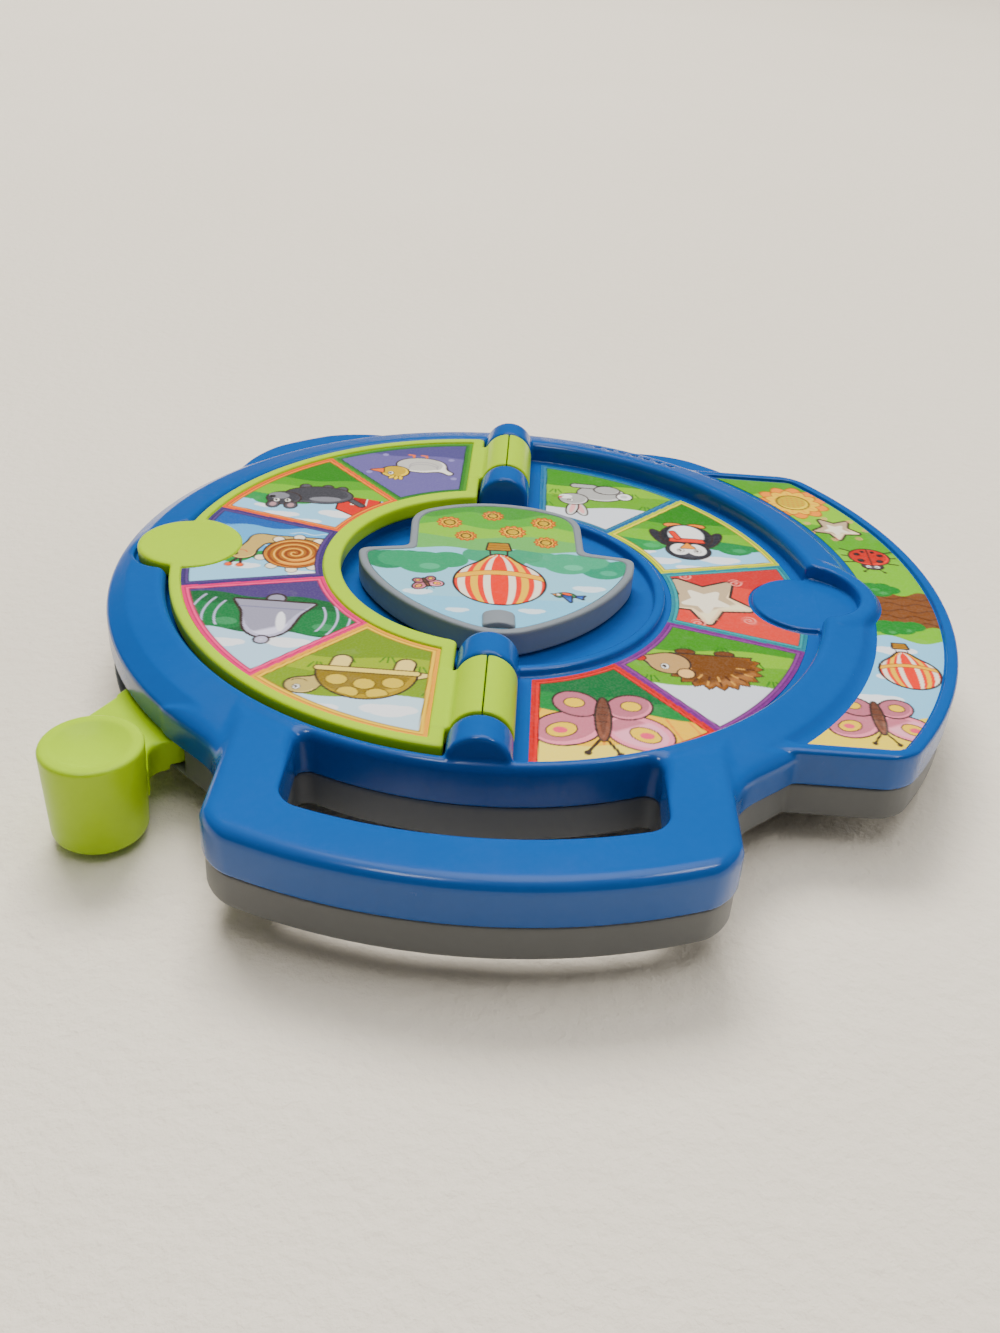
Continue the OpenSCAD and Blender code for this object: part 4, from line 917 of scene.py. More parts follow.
def m_rabbit(p, c=(0.86, 0.86, 0.85)):
    body(p, p.ell(-2.4, -3.4, 8.2, 6.0), c)
    body(p, p.ell(-10.2, -2.0, 2.7, 2.7), (1, 1, 1))
    body(p, p.seg(0.4, -8.6, 6.4, -8.8, 1.6), c)
    body(p, p.ell(-4.4, -6.4, 4.4, 3.2), c)
    for q in (0, 1):
        e = p.ell(4.6 + q * 2.8, 9.4, 1.9, 5.2, 14 - 24 * q)
        body(p, e, c)
        p.put(p.ell(4.6 + q * 2.8, 9.3, 0.9, 3.8, 14 - 24 * q), (0.93, 0.70, 0.70))
    body(p, p.ell(7.0, 2.0, 4.9, 4.4), c)
    p.put(p.ell(9.6, 0.4, 2.2, 1.7), (0.97, 0.97, 0.96))
    eye(p, 8.0, 3.0, 1.0)
    p.put(p.ell(11.4, 1.3, 0.7, 0.55), (0.80, 0.36, 0.38))
    for k in (-0.5, 0.4):
        p.put(p.seg(10.4, 0.4 + k * 0.4, 14.2, 0.2 + k * 2.0, 0.14), INK)


def m_star(p, c=(0.96, 0.86, 0.72)):
    P = [((11.4 if k % 2 == 0 else 5.4) * math.sin(k * math.pi / 5), (11.4 if k % 2 == 0 else 5.4) * math.cos(k * math.pi / 5)) for k in range(10)]
    body(p, p.poly(P, 1.5), c, 0.9)
    p.put(p.poly([(0.5 * a, 0.5 * b + 0.6) for a, b in P], 0.8), (1.0, 0.96, 0.88))
    for a in range(7):
        t = a * 0.9 + 0.5
        r, t2 = np.hypot(p.u - 15.6 * math.cos(t), p.v - 12.6 * math.sin(t)), np.arctan2(p.v - 12.6 * math.sin(t), p.u - 15.6 * math.cos(t))
        p.put(np.maximum(np.abs(((r / 1.1 - t2 / (2 * math.pi)) + 0.5) % 1 - 0.5) * 1.1 - 0.22, r - 2.0), (0.96, 0.62, 0.58))


def m_bird(p, c=(0.28, 0.60, 0.42), wing=(0.16, 0.34, 0.66)):
    body(p, p.poly([(-6, 0), (-14.6, 2.8), (-13.4, -0.6), (-15.0, -3.4)], 0.8), wing)
    body(p, smin(p.ell(0, 0, 7.6, 4.4), p.ell(7.2, 2.8, 3.9, 3.7), 2.2), c)
    body(p, p.poly([(-3, 1), (4, 1.6), (-5.2, 10.8)], 1.3), wing)
    p.put(p.ell(8.6, 2.0, 2.4, 2.2), (0.99, 0.95, 0.90))
    p.both(p.poly([(10.2, 3.6), (14.2, 2.2), (10.4, 1.0)], 0.4), (0.97, 0.62, 0.16), w=0.4)
    eye(p, 8.2, 4.0, 0.85)
    p.put(p.ell(1.0, -2.0, 4.4, 1.8, -4), (0.96, 0.40, 0.24))


def m_bee(p):
    for q in (0, 1):
        p.both(p.ell(-0.8 + q * 4.0, 7.6, 3.2, 5.4, 24 - q * 34), (0.90, 0.95, 0.99), ink=(0.36, 0.40, 0.46), w=0.5)
    e = p.ell(0, -0.4, 9.8, 6.2)
    p.put(e, (0.99, 0.82, 0.20))
    shade(p, e, (0.99, 0.82, 0.20))
    for k in (-5.6, -1.2, 3.2):
        p.put(np.maximum(np.abs(p.u - k - 0.02 * p.v ** 2) - 1.1, e), (0.20, 0.14, 0.12))
    p.line(e, INK, 0.62)
    body(p, p.ell(9.6, 0.6, 4.2, 4.0), (0.99, 0.82, 0.20))
    eye(p, 11.0, 1.6, 0.9)
    for q in (0, 1):
        p.put(p.seg(10.2, 4.2, 11.8 + q * 3.0, 8.8 - q, 0.34), INK).put(p.ell(11.8 + q * 3.0, 8.9 - q, 0.7, 0.7), INK)
    p.put(p.poly([(-9.6, -1.2), (-12.8, -1.8), (-9.6, 0.4)]), INK)


def m_drum(p):
    c = (0.86, 0.24, 0.22)
    for q in (-1, 1):
        p.both(p.seg(q * 3.4, 7.2, q * 12.0, 12.4, 0.7), (0.86, 0.62, 0.34), w=0.45)
        body(p, p.ell(q * 3.2, 7.0, 1.8, 1.8), (0.98, 0.88, 0.66))
    body(p, smin(p.poly([(-9.6, -6.6), (9.6, -6.6), (9.6, 3.6), (-9.6, 3.6)], 0.8), p.ell(0, -6.6, 9.6, 2.8), 1.0), c)
    for k in range(5):
        for q in (-1, 1):
            x = -7.6 + 3.8 * k
            p.put(np.maximum(p.seg(x - q * 1.9, -6.4, x + q * 1.9, 1.4, 0.4), np.abs(p.u) - 9.2), (0.99, 0.84, 0.30))
    for y in (-7.4, 2.6):
        p.put(np.maximum(np.abs(p.v - y + 2.4 - 2.4 * (p.u / 9.8) ** 2) - 0.9, np.abs(p.u) - 9.8), (0.20, 0.46, 0.74))
    body(p, p.ell(0, 4.0, 9.8, 3.2), (0.98, 0.95, 0.88))


def m_boat(p):
    p.both(p.seg(0, -3.0, 0, 11.4, 0.55), (0.62, 0.42, 0.24), w=0.45)
    body(p, p.poly([(1.5, -1.2), (1.5, 10.6), (9.8, -1.2)], 0.8), (0.99, 0.97, 0.92))
    body(p, p.poly([(-1.5, -0.6), (-1.5, 8.8), (-8.4, -0.6)], 0.8), (0.98, 0.76, 0.26))
    body(p, p.poly([(-11.6, -2.8), (11.6, -2.8), (7.8, -9.0), (-7.8, -9.0)], 1.2), (0.84, 0.26, 0.22))
    p.put(np.maximum(np.abs(p.v + 4.6) - 0.7, np.abs(p.u) - 10.4), (0.99, 0.95, 0.88))
    for q in (0, 1):
        p.put(np.maximum(np.abs(p.v + 9.6 + q * 2.2 - 0.8 * np.sin(p.u * 0.8 + q)) - 0.45, np.abs(p.u) - 14 + q * 3), (0.97, 0.99, 1.0))


def m_ladybird(p):
    for k in (-4.6, 0, 4.6):
        for q in (-1, 1):
            p.put(p.seg(q * 6.0, k - 0.6, q * 12.0, k * 1.4 - 1.6, 0.5), INK)
    body(p, p.ell(0, 7.4, 4.8, 3.4), (0.26, 0.22, 0.24))
    for q in (-1, 1):
        p.put(p.seg(q * 1.6, 9.6, q * 4.4, 12.8, 0.35), INK).put(p.ell(q * 4.5, 13.0, 0.8, 0.8), INK)
    body(p, p.ell(0, -1.2, 9.2, 8.0), (0.90, 0.26, 0.18))
    p.put(p.seg(0, -8.8, 0, 6.4, 0.35), INK)
    for x, y, r in ((4.2, 2.4, 1.7), (5.2, -3.4, 1.5), (2.2, -6.2, 1.1)):
        for q in (-1, 1):
            p.put(p.ell(q * x, y, r, r), (0.18, 0.13, 0.14))
    for q in (-1, 1):
        p.put(p.ell(q * 1.9, 8.2, 1.1, 1.1), (0.98, 0.98, 0.96)).put(p.ell(q * 1.8, 8.4, 0.5, 0.5), INK)


def m_frog(p, c=(0.46, 0.72, 0.28)):
    for q in (-1, 1):
        body(p, p.ell(q * 8.6, -4.4, 4.8, 3.2, q * 30), c)
        body(p, p.seg(q * 8.0, -8.2, q * 12.6, -8.2, 1.2), c)
    body(p, p.ell(0, -2.6, 8.4, 6.6), c)
    p.put(p.ell(0, -4.6, 5.4, 4.0), (0.90, 0.92, 0.62))
    body(p, p.ell(0, 4.0, 8.6, 5.2), c)
    for q in (-1, 1):
        body(p, p.ell(q * 4.8, 8.2, 2.7, 2.7), c)
        eye(p, q * 4.8, 8.4, 1.7)
    p.line(np.maximum(np.abs(np.hypot(p.u, p.v - 7.4) - 6.6), p.v - 3.2), INK, 0.45)


def m_whale(p, c=(0.32, 0.54, 0.80)):
    e = smin(np.maximum(p.ell(1.5, -0.6, 11.4, 7.8), -6.0 - p.v), p.seg(-8, 0, -13, 4.8, 2.0), 3.4)
    e = smin(e, smin(p.ell(-15.0, 7.0, 3.4, 1.6, -35), p.ell(-11.0, 7.4, 3.4, 1.6, 40), 1.0), 1.0)
    body(p, e, c)
    p.put(np.maximum(p.ell(4.6, -8.0, 10.4, 4.8), e + 0.5), (0.93, 0.95, 0.97))
    eye(p, 7.6, 0.2, 1.0)
    for q in (-1, 1):
        p.line(np.maximum(np.abs(np.hypot(p.u - 2.2 - q * 2.8, p.v - 9.4) - 2.8), p.v * -1 + 9.2), (0.85, 0.94, 1.0), 0.9)
    p.put(p.seg(2.2, 7.0, 2.2, 10.6, 0.45), (0.85, 0.94, 1.0))


def m_fish(p, c=(0.95, 0.55, 0.16), fin=(0.93, 0.36, 0.14)):
    body(p, p.poly([(-7, 0), (-14.5, 6.2), (-12.6, 0), (-14.5, -6.2)], 1.0), fin)
    body(p, p.poly([(-3, 5), (4, 9.6), (5, 4.6)], 1.0), fin)
    e = p.ell(0.8, 0, 11.0, 7.0)
    body(p, e, c)
    p.put(np.maximum(p.ell(0.8, -4.6, 10.6, 5.0), e + 0.5), (0.99, 0.82, 0.52))
    for k in (-4.4, 0.4):
        p.put(np.maximum(np.abs(p.u - k - 0.03 * p.v ** 2) - 1.0, e + 0.4), (0.99, 0.96, 0.90))
    body(p, p.poly([(-1, -1), (-5, -3.2), (-1.6, -4.8)], 0.7), fin)
    eye(p, 7.0, 1.6, 1.5)
    for k, q in ((14, 4.5), (15.6, 7.4), (13.4, 9.6)):
        p.line(p.ell(k, q, 1.0, 1.0), (0.93, 0.97, 1), 0.45)


def m_flower(p, petal=(0.99, 0.80, 0.26), n=11):
    r, t = np.hypot(p.u, p.v), np.arctan2(p.v, p.u)
    for k, (rad, col) in enumerate(((14.6, (0.97, 0.60, 0.22)), (11.4, petal))):
        edge = rad * (0.80 + 0.20 * np.abs(np.cos(n * (t + k * math.pi / n) / 2)))
        p.put((r - edge) * 0.8, col).line((r - edge) * 0.8, (0.62, 0.30, 0.10), 0.45)
    for k in range(n):
        a = 2 * math.pi * k / n + math.pi / n
        p.put(p.seg(7.0 * math.cos(a), 7.0 * math.sin(a), 9.6 * math.cos(a), 9.6 * math.sin(a), 0.2), (0.93, 0.58, 0.18))
    body(p, r - 6.6, (0.99, 0.86, 0.36))
    dots = np.hypot((p.u + 1.0) % 2.0 - 1.0, (p.v + 1.0) % 2.0 - 1.0) - 0.42
    p.put(np.maximum(dots, r - 5.4), (0.80, 0.46, 0.14))


def m_balloon(p):
    e = smin(p.ell(0, 4.0, 12.6, 12.4), p.seg(0, -5, 0, -9.4, 3.0), 6.0)
    p.put(e, (0.90, 0.27, 0.18))
    wdt = np.sqrt(np.clip(1 - ((p.v - 4) / 15.6) ** 2, 0.02, 1))
    for k, col in ((-3, (0.99, 0.95, 0.88)), (-1, (0.99, 0.95, 0.88)), (1, (0.99, 0.95, 0.88)), (3, (0.99, 0.95, 0.88)), (-2, (0.99, 0.78, 0.20)), (2, (0.99, 0.78, 0.20))):
        p.put(np.maximum(np.abs(p.u - k * 3.5 * wdt) - 1.0 * wdt, e), col)
    p.put(np.maximum(e, np.abs(p.v + 1.6 - 0.02 * p.u ** 2) - 1.3), (0.98, 0.74, 0.22))
    p.line(np.maximum(e, np.abs(p.v + 1.6 - 0.02 * p.u ** 2) - 1.3), (0.60, 0.30, 0.12), 0.35)
    p.line(e, INK, 0.75)
    for q in (-1, 1):
        p.put(p.seg(q * 2.4, -12.0, q * 2.5, -15.4, 0.28), INK)
    body(p, p.poly([(-3.2, -15.2), (3.2, -15.2), (2.6, -19.2), (-2.6, -19.2)], 0.4), (0.84, 0.62, 0.30))
    for k in (-16.4, -17.8):
        p.line(np.maximum(np.abs(p.v - k), np.abs(p.u) - 2.8), (0.5, 0.33, 0.14), 0.35)


def cloud(p, cx, cy, s=1.0, col=(0.97, 0.98, 1.0), clip=None):
    d = np.minimum(np.minimum(p.ell(cx, cy, 3.6 * s, 1.9 * s), p.ell(cx - 2.6 * s, cy - 0.5 * s, 2.4 * s, 1.3 * s)), p.ell(cx + 2.7 * s, cy - 0.4 * s, 2.5 * s, 1.4 * s))
    p.put(d, col, clip)


def bush(p, cx, cy, s=1.0, col=(0.24, 0.54, 0.34), clip=None):
    d = np.minimum(np.minimum(p.ell(cx, cy, 4.2 * s, 3.6 * s), p.ell(cx - 3.8 * s, cy - 1.2 * s, 3.2 * s, 2.6 * s)), p.ell(cx + 3.8 * s, cy - 1.0 * s, 3.4 * s, 2.7 * s))
    p.put(d, col, clip)
    p.put(p.ell(cx - 1.0 * s, cy + 1.2 * s, 1.6 * s, 1.0 * s), tuple(min(1, v + 0.10) for v in col), clip)


def scenery(p, kind):
    """Plain background of one picture, drawn in the picture's own frame."""
    u, v = p.u, p.v
    whole = u * 0 - 1
    sky, lake = (0.64, 0.84, 0.95), (0.42, 0.68, 0.88)
    if kind in ("meadow", "barn"):
        p.put(whole, sky)
        for cx, cy, q in ((-10, 13, 1.4), (9, 16, 1.2), (0, 20, 1.0), (15, 10, 0.8)):
            cloud(p, cx, cy, q)
        if kind == "barn":
            p.both(p.poly([(-22, -2), (-22, 9), (-15, 14), (-8, 9), (-8, -2)]), (0.80, 0.22, 0.18), w=0.6)
            p.put(p.poly([(-17.5, -2), (-17.5, 5), (-12.5, 5), (-12.5, -2)]), (0.58, 0.14, 0.14))
            p.line(p.poly([(-17.5, -2), (-17.5, 5), (-12.5, 5), (-12.5, -2)]), (0.95, 0.90, 0.84), 0.5)
        for cx, q, c in ((-16, 1.5, (0.18, 0.50, 0.30)), (14, 1.7, (0.22, 0.56, 0.32)), (4, 1.2, (0.30, 0.62, 0.36))):
            if kind == "meadow" or cx > 0:
                bush(p, cx, 3, q, c)
        p.put(v - 0.4 - 1.4 * np.sin(u * 0.16), (0.50, 0.72, 0.24))
        p.put(v + 6.0 - 1.2 * np.sin(u * 0.2 + 2), (0.38, 0.62, 0.20))
        p.put(v + 12.5 - 1.0 * np.sin(u * 0.25 + 1), (0.24, 0.48, 0.18))
    elif kind == "water":
        p.put(whole, sky)
        cloud(p, -9, 15, 1.2)
        cloud(p, 11, 12, 1.0)
        for cx, q in ((-17, 1.5), (-8, 1.1), (16, 1.6)):
            bush(p, cx, 4.5, q, (0.20, 0.54, 0.30))
        p.put(v - 1.5 - 0.4 * np.sin(u * 0.9), lake)
        for k in (-2, -7, -12, -17):
            p.line(np.maximum(np.abs(v - k - 0.6 * np.sin(u * 0.8 + k)), np.abs(u - k * 0.7) - 9), (0.80, 0.92, 0.98), 0.6)
        p.put(v + 15 - 1.0 * np.sin(u * 0.3), (0.16, 0.34, 0.62))
    elif kind == "night":
        p.put(whole, (0.14, 0.36, 0.22))
        for cx, q in ((-14, 2.0), (0, 1.7), (14, 2.1)):
            bush(p, cx, 2, q, (0.18, 0.44, 0.27))
        p.put(-(v - 9.0 - 1.0 * np.sin(u * 0.3)), (0.74, 0.86, 0.94))
        cloud(p, -7, 14, 1.4)
        cloud(p, 10, 16, 1.2)
        p.put(v + 11 - 1.0 * np.sin(u * 0.25), (0.28, 0.22, 0.42))
    elif kind == "field":
        p.put(whole, (0.50, 0.60, 0.22))
        p.put(-(v - 8.0 - 1.4 * np.sin(u * 0.16)), (0.80, 0.90, 0.95))
        cloud(p, -8, 14, 1.5)
        cloud(p, 11, 15, 1.2)
        p.put(v + 3 - 1.5 * np.sin(u * 0.12 + 1), (0.60, 0.68, 0.26))
        p.put(v + 11 - 1.2 * np.sin(u * 0.15), (0.46, 0.56, 0.20))
        for a, b in ((-14, -8), (-5, -12), (6, -11), (14, -7), (-18, 3), (17, 4)):
            for q in (-0.9, 0, 0.9):
                p.put(p.seg(a + q, b, a + q * 2.4, b + 2.8, 0.26), (0.30, 0.48, 0.16))
    elif kind == "green":
        p.put(whole, (0.44, 0.64, 0.22))
        p.put(-(v - 9.0 - 1.4 * np.sin(u * 0.16)), (0.88, 0.90, 0.93))
        p.put(v + 1 - 1.5 * np.sin(u * 0.12 + 1), (0.56, 0.74, 0.30))
        p.put(v + 9.5 - 1.2 * np.sin(u * 0.15), (0.30, 0.54, 0.20))
        for a, b in ((-14, -5), (-5, -12), (6, -11), (14, -5), (-18, 5), (17, 6)):
            for q in (-0.9, 0, 0.9):
                p.put(p.seg(a + q, b, a + q * 2.4, b + 2.8, 0.26), (0.24, 0.46, 0.16))
    elif kind == "corn":
        p.put(whole, (0.99, 0.78, 0.20))
        for k in range(-6, 7):
            p.line(np.abs(u - k * 5.2 - 0.13 * k * (v + 6)), (0.93, 0.62, 0.12), 0.7)
        p.put(v + 2.5 - 1.2 * np.sin(u * 0.2), (0.16, 0.50, 0.28))
        p.put(v + 10 - 1.2 * np.sin(u * 0.3), (0.10, 0.40, 0.24))
        p.put(np.maximum(-(v - 12.5 - 1.0 * np.sin(u * 0.25)), whole), (0.98, 0.90, 0.52))
    elif kind == "dusk":
        p.put(whole, (0.40, 0.37, 0.58))
        p.put(v + 9.5 - 1.0 * np.sin(u * 0.2), (0.30, 0.28, 0.48))
        for a, b in ((-14, 8), (12, -9), (-12, -8), (16, 7)):
            p.put(p.ell(a, b, 1.1, 1.1), (0.56, 0.53, 0.74))
    elif kind == "coral":
        p.put(whole, (0.84, 0.30, 0.27))
        p.put(v + 9.0 - 1.0 * np.sin(u * 0.2), (0.74, 0.22, 0.22))


def sector_pictures(x, y, spec, x0, ri, ro, out):
    """Five pictures in a half ring; out is their outward side, +1 or -1 along X."""
    p = Paint(x, y, (0.94, 0.93, 0.86))
    R = np.hypot(x, y)
    ang = np.degrees(np.arctan2(y, x * out))
    edges = [-98, -49.25, -16.42, 16.42, 49.25, 98]
    whole = np.minimum(np.minimum(ro - R, R - ri), np.abs(x) - x0)
    for k in range(5):
        a0, a1 = edges[k], edges[k + 1]
        inside = np.minimum(R * np.sin(np.radians(np.clip(ang - a0, -90, 90))), R * np.sin(np.radians(np.clip(a1 - ang, -90, 90))))
        mine = (ang >= a0) & (ang < a1)
        e = np.minimum(inside, whole)
        kind, motif, b1, b2, size = spec[k]
        mid = math.radians({0: -67.5, 1: -32.8, 2: 0, 3: 32.8, 4: 67.5}[k])
        rm = 75.5 if k in (1, 3) else (66.0 if k == 2 else 76.5)
        cx, cy = out * rm * math.cos(mid), rm * math.sin(mid)
        if k in (0, 4):
            cx += out * 3.0
        q = Paint(x, y, (1, 1, 1))
        q.frame(cx, cy, 1.0)
        scenery(q, kind)
        q.frame(cx, cy, size * 1.28)
        motif(q)
        q.frame(cx, cy, 1.0)
        q.put(e - 2.3, b1)
        q.put(e - 1.1, b2)
        q.line(e - 2.3, tuple(v * 0.5 for v in b1), 0.35)
        q.line(e - 1.1, tuple(v * 0.8 for v in b2), 0.25)
        w = np.where(mine, 1.0, 0.0)[..., None]
        p.c = p.c * (1 - w) + q.c * w
    return p.c


def print_of(name, node_name, body, P, faces, cols):
    lum = (cols * np.array([0.2126, 0.7152, 0.0722])).sum(-1, keepdims=True)
    cc = np.clip(lum + (cols - lum) * 1.25, 0.004, 1.0) * 0.92
    o = mesh_of(name, P, faces, False, cc)
    o.data.materials.append(PRINT)
    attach(o, body)
    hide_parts(node_name)
    return o


def sheet(name, node_name, body, xs, ys, z_top, z_bot, cols):
    """A thin closed slab over a grid of points; colours sit on its points. Its underside has the border's points only."""
    n, m = xs.shape
    top = np.stack([xs, ys, np.full(xs.shape, z_top)], -1).reshape(-1, 3)
    i = np.arange(n * m).reshape(n, m)
    ring = np.concatenate([i[0, :], i[1:, -1], i[-1, -2::-1], i[-2:0:-1, 0]])
    u = np.full(n * m, -1)
    u[ring] = n * m + np.arange(len(ring))
    bot = top[ring].copy()
    bot[:, 2] = z_bot
    nxt = np.roll(ring, -1)
    faces = [np.stack([v.ravel() for v in (i[:-1, :-1], i[1:, :-1], i[1:, 1:], i[:-1, 1:])], 1),
             np.stack([ring, nxt, u[nxt], u[ring]], 1),
             np.stack([u[i[1:-2, 0]], u[i[1:-2, -1]], u[i[2:-1, -1]], u[i[2:-1, 0]]], 1),
             np.concatenate([u[i[0, :]], [u[i[1, -1]], u[i[1, 0]]]])[None, :],
             np.concatenate([[u[i[-2, 0]], u[i[-2, -1]]], u[i[-1, ::-1]]])[None, :]]
    if (xs[1, 0] - xs[0, 0]) * (ys[0, 1] - ys[0, 0]) - (ys[1, 0] - ys[0, 0]) * (xs[0, 1] - xs[0, 0]) <= 0:
        faces = [f[:, ::-1] for f in faces]
    c = cols.reshape(-1, 3)
    return print_of(name, node_name, body, np.concatenate([top, bot]), faces, np.concatenate([c, c[ring]]))


def round_sheet(name, node_name, body, xs, ys, z_top, z_bot, cols):
    """The same for rings of points round the origin, each row one direction."""
    n, m = xs.shape
    top = np.concatenate([np.stack([xs, ys, np.full(xs.shape, z_top)], -1).reshape(-1, 3), [[0, 0, z_top]]])
    i = np.arange(n * m).reshape(n, m)
    k = np.roll(i, -1, 0)
    bot = np.concatenate([top[i[:, -1]], top[-1:]])
    bot[:, 2] = z_bot
    ub = n * m + 1 + np.arange(n)
    ue = np.roll(ub, -1)
    mid = np.full(n, n * m)
    faces = [np.stack([v.ravel() for v in (i[:, :-1], i[:, 1:], k[:, 1:], k[:, :-1])], 1),
             np.stack([k[:, -1], i[:, -1], ub, ue], 1),
             np.stack([mid, i[:, 0], k[:, 0]], 1),
             np.stack([mid + 1 + n, ue, ub], 1)]
    c = cols.reshape(-1, 3)
    return print_of(name, node_name, body, np.concatenate([top, bot]), faces, np.concatenate([c, c[:1], c[i[:, -1]], c[:1]]))


def half_ring_grid(x0, ri, ro, hole_r, out, step):
    """Points that fill a half ring cut at |x| = x0, with a round bite for the finger tab."""
    n, m = int(2.9 * 76 / step), int((ro - ri) / step)
    s = np.linspace(-1, 1, n)[:, None] * np.ones((1, m))
    t = np.linspace(0, 1, m)[None, :] * np.ones((n, 1))
    r = ri + t * (ro - ri)
    th = s * 1.4
    lim = math.asin(hole_r / TAB_X)
    for _ in range(12):
        th = s * np.arccos(np.clip(x0 / r, 0, 1))
        b = np.where(np.abs(th) < lim, TAB_X * np.cos(th) - np.sqrt(np.maximum(hole_r ** 2 - (TAB_X * np.sin(th)) ** 2, 0)), ro)
        r = ri + t * (np.minimum(b, ro) - ri)
    return out * r * np.cos(th), r * np.sin(th)


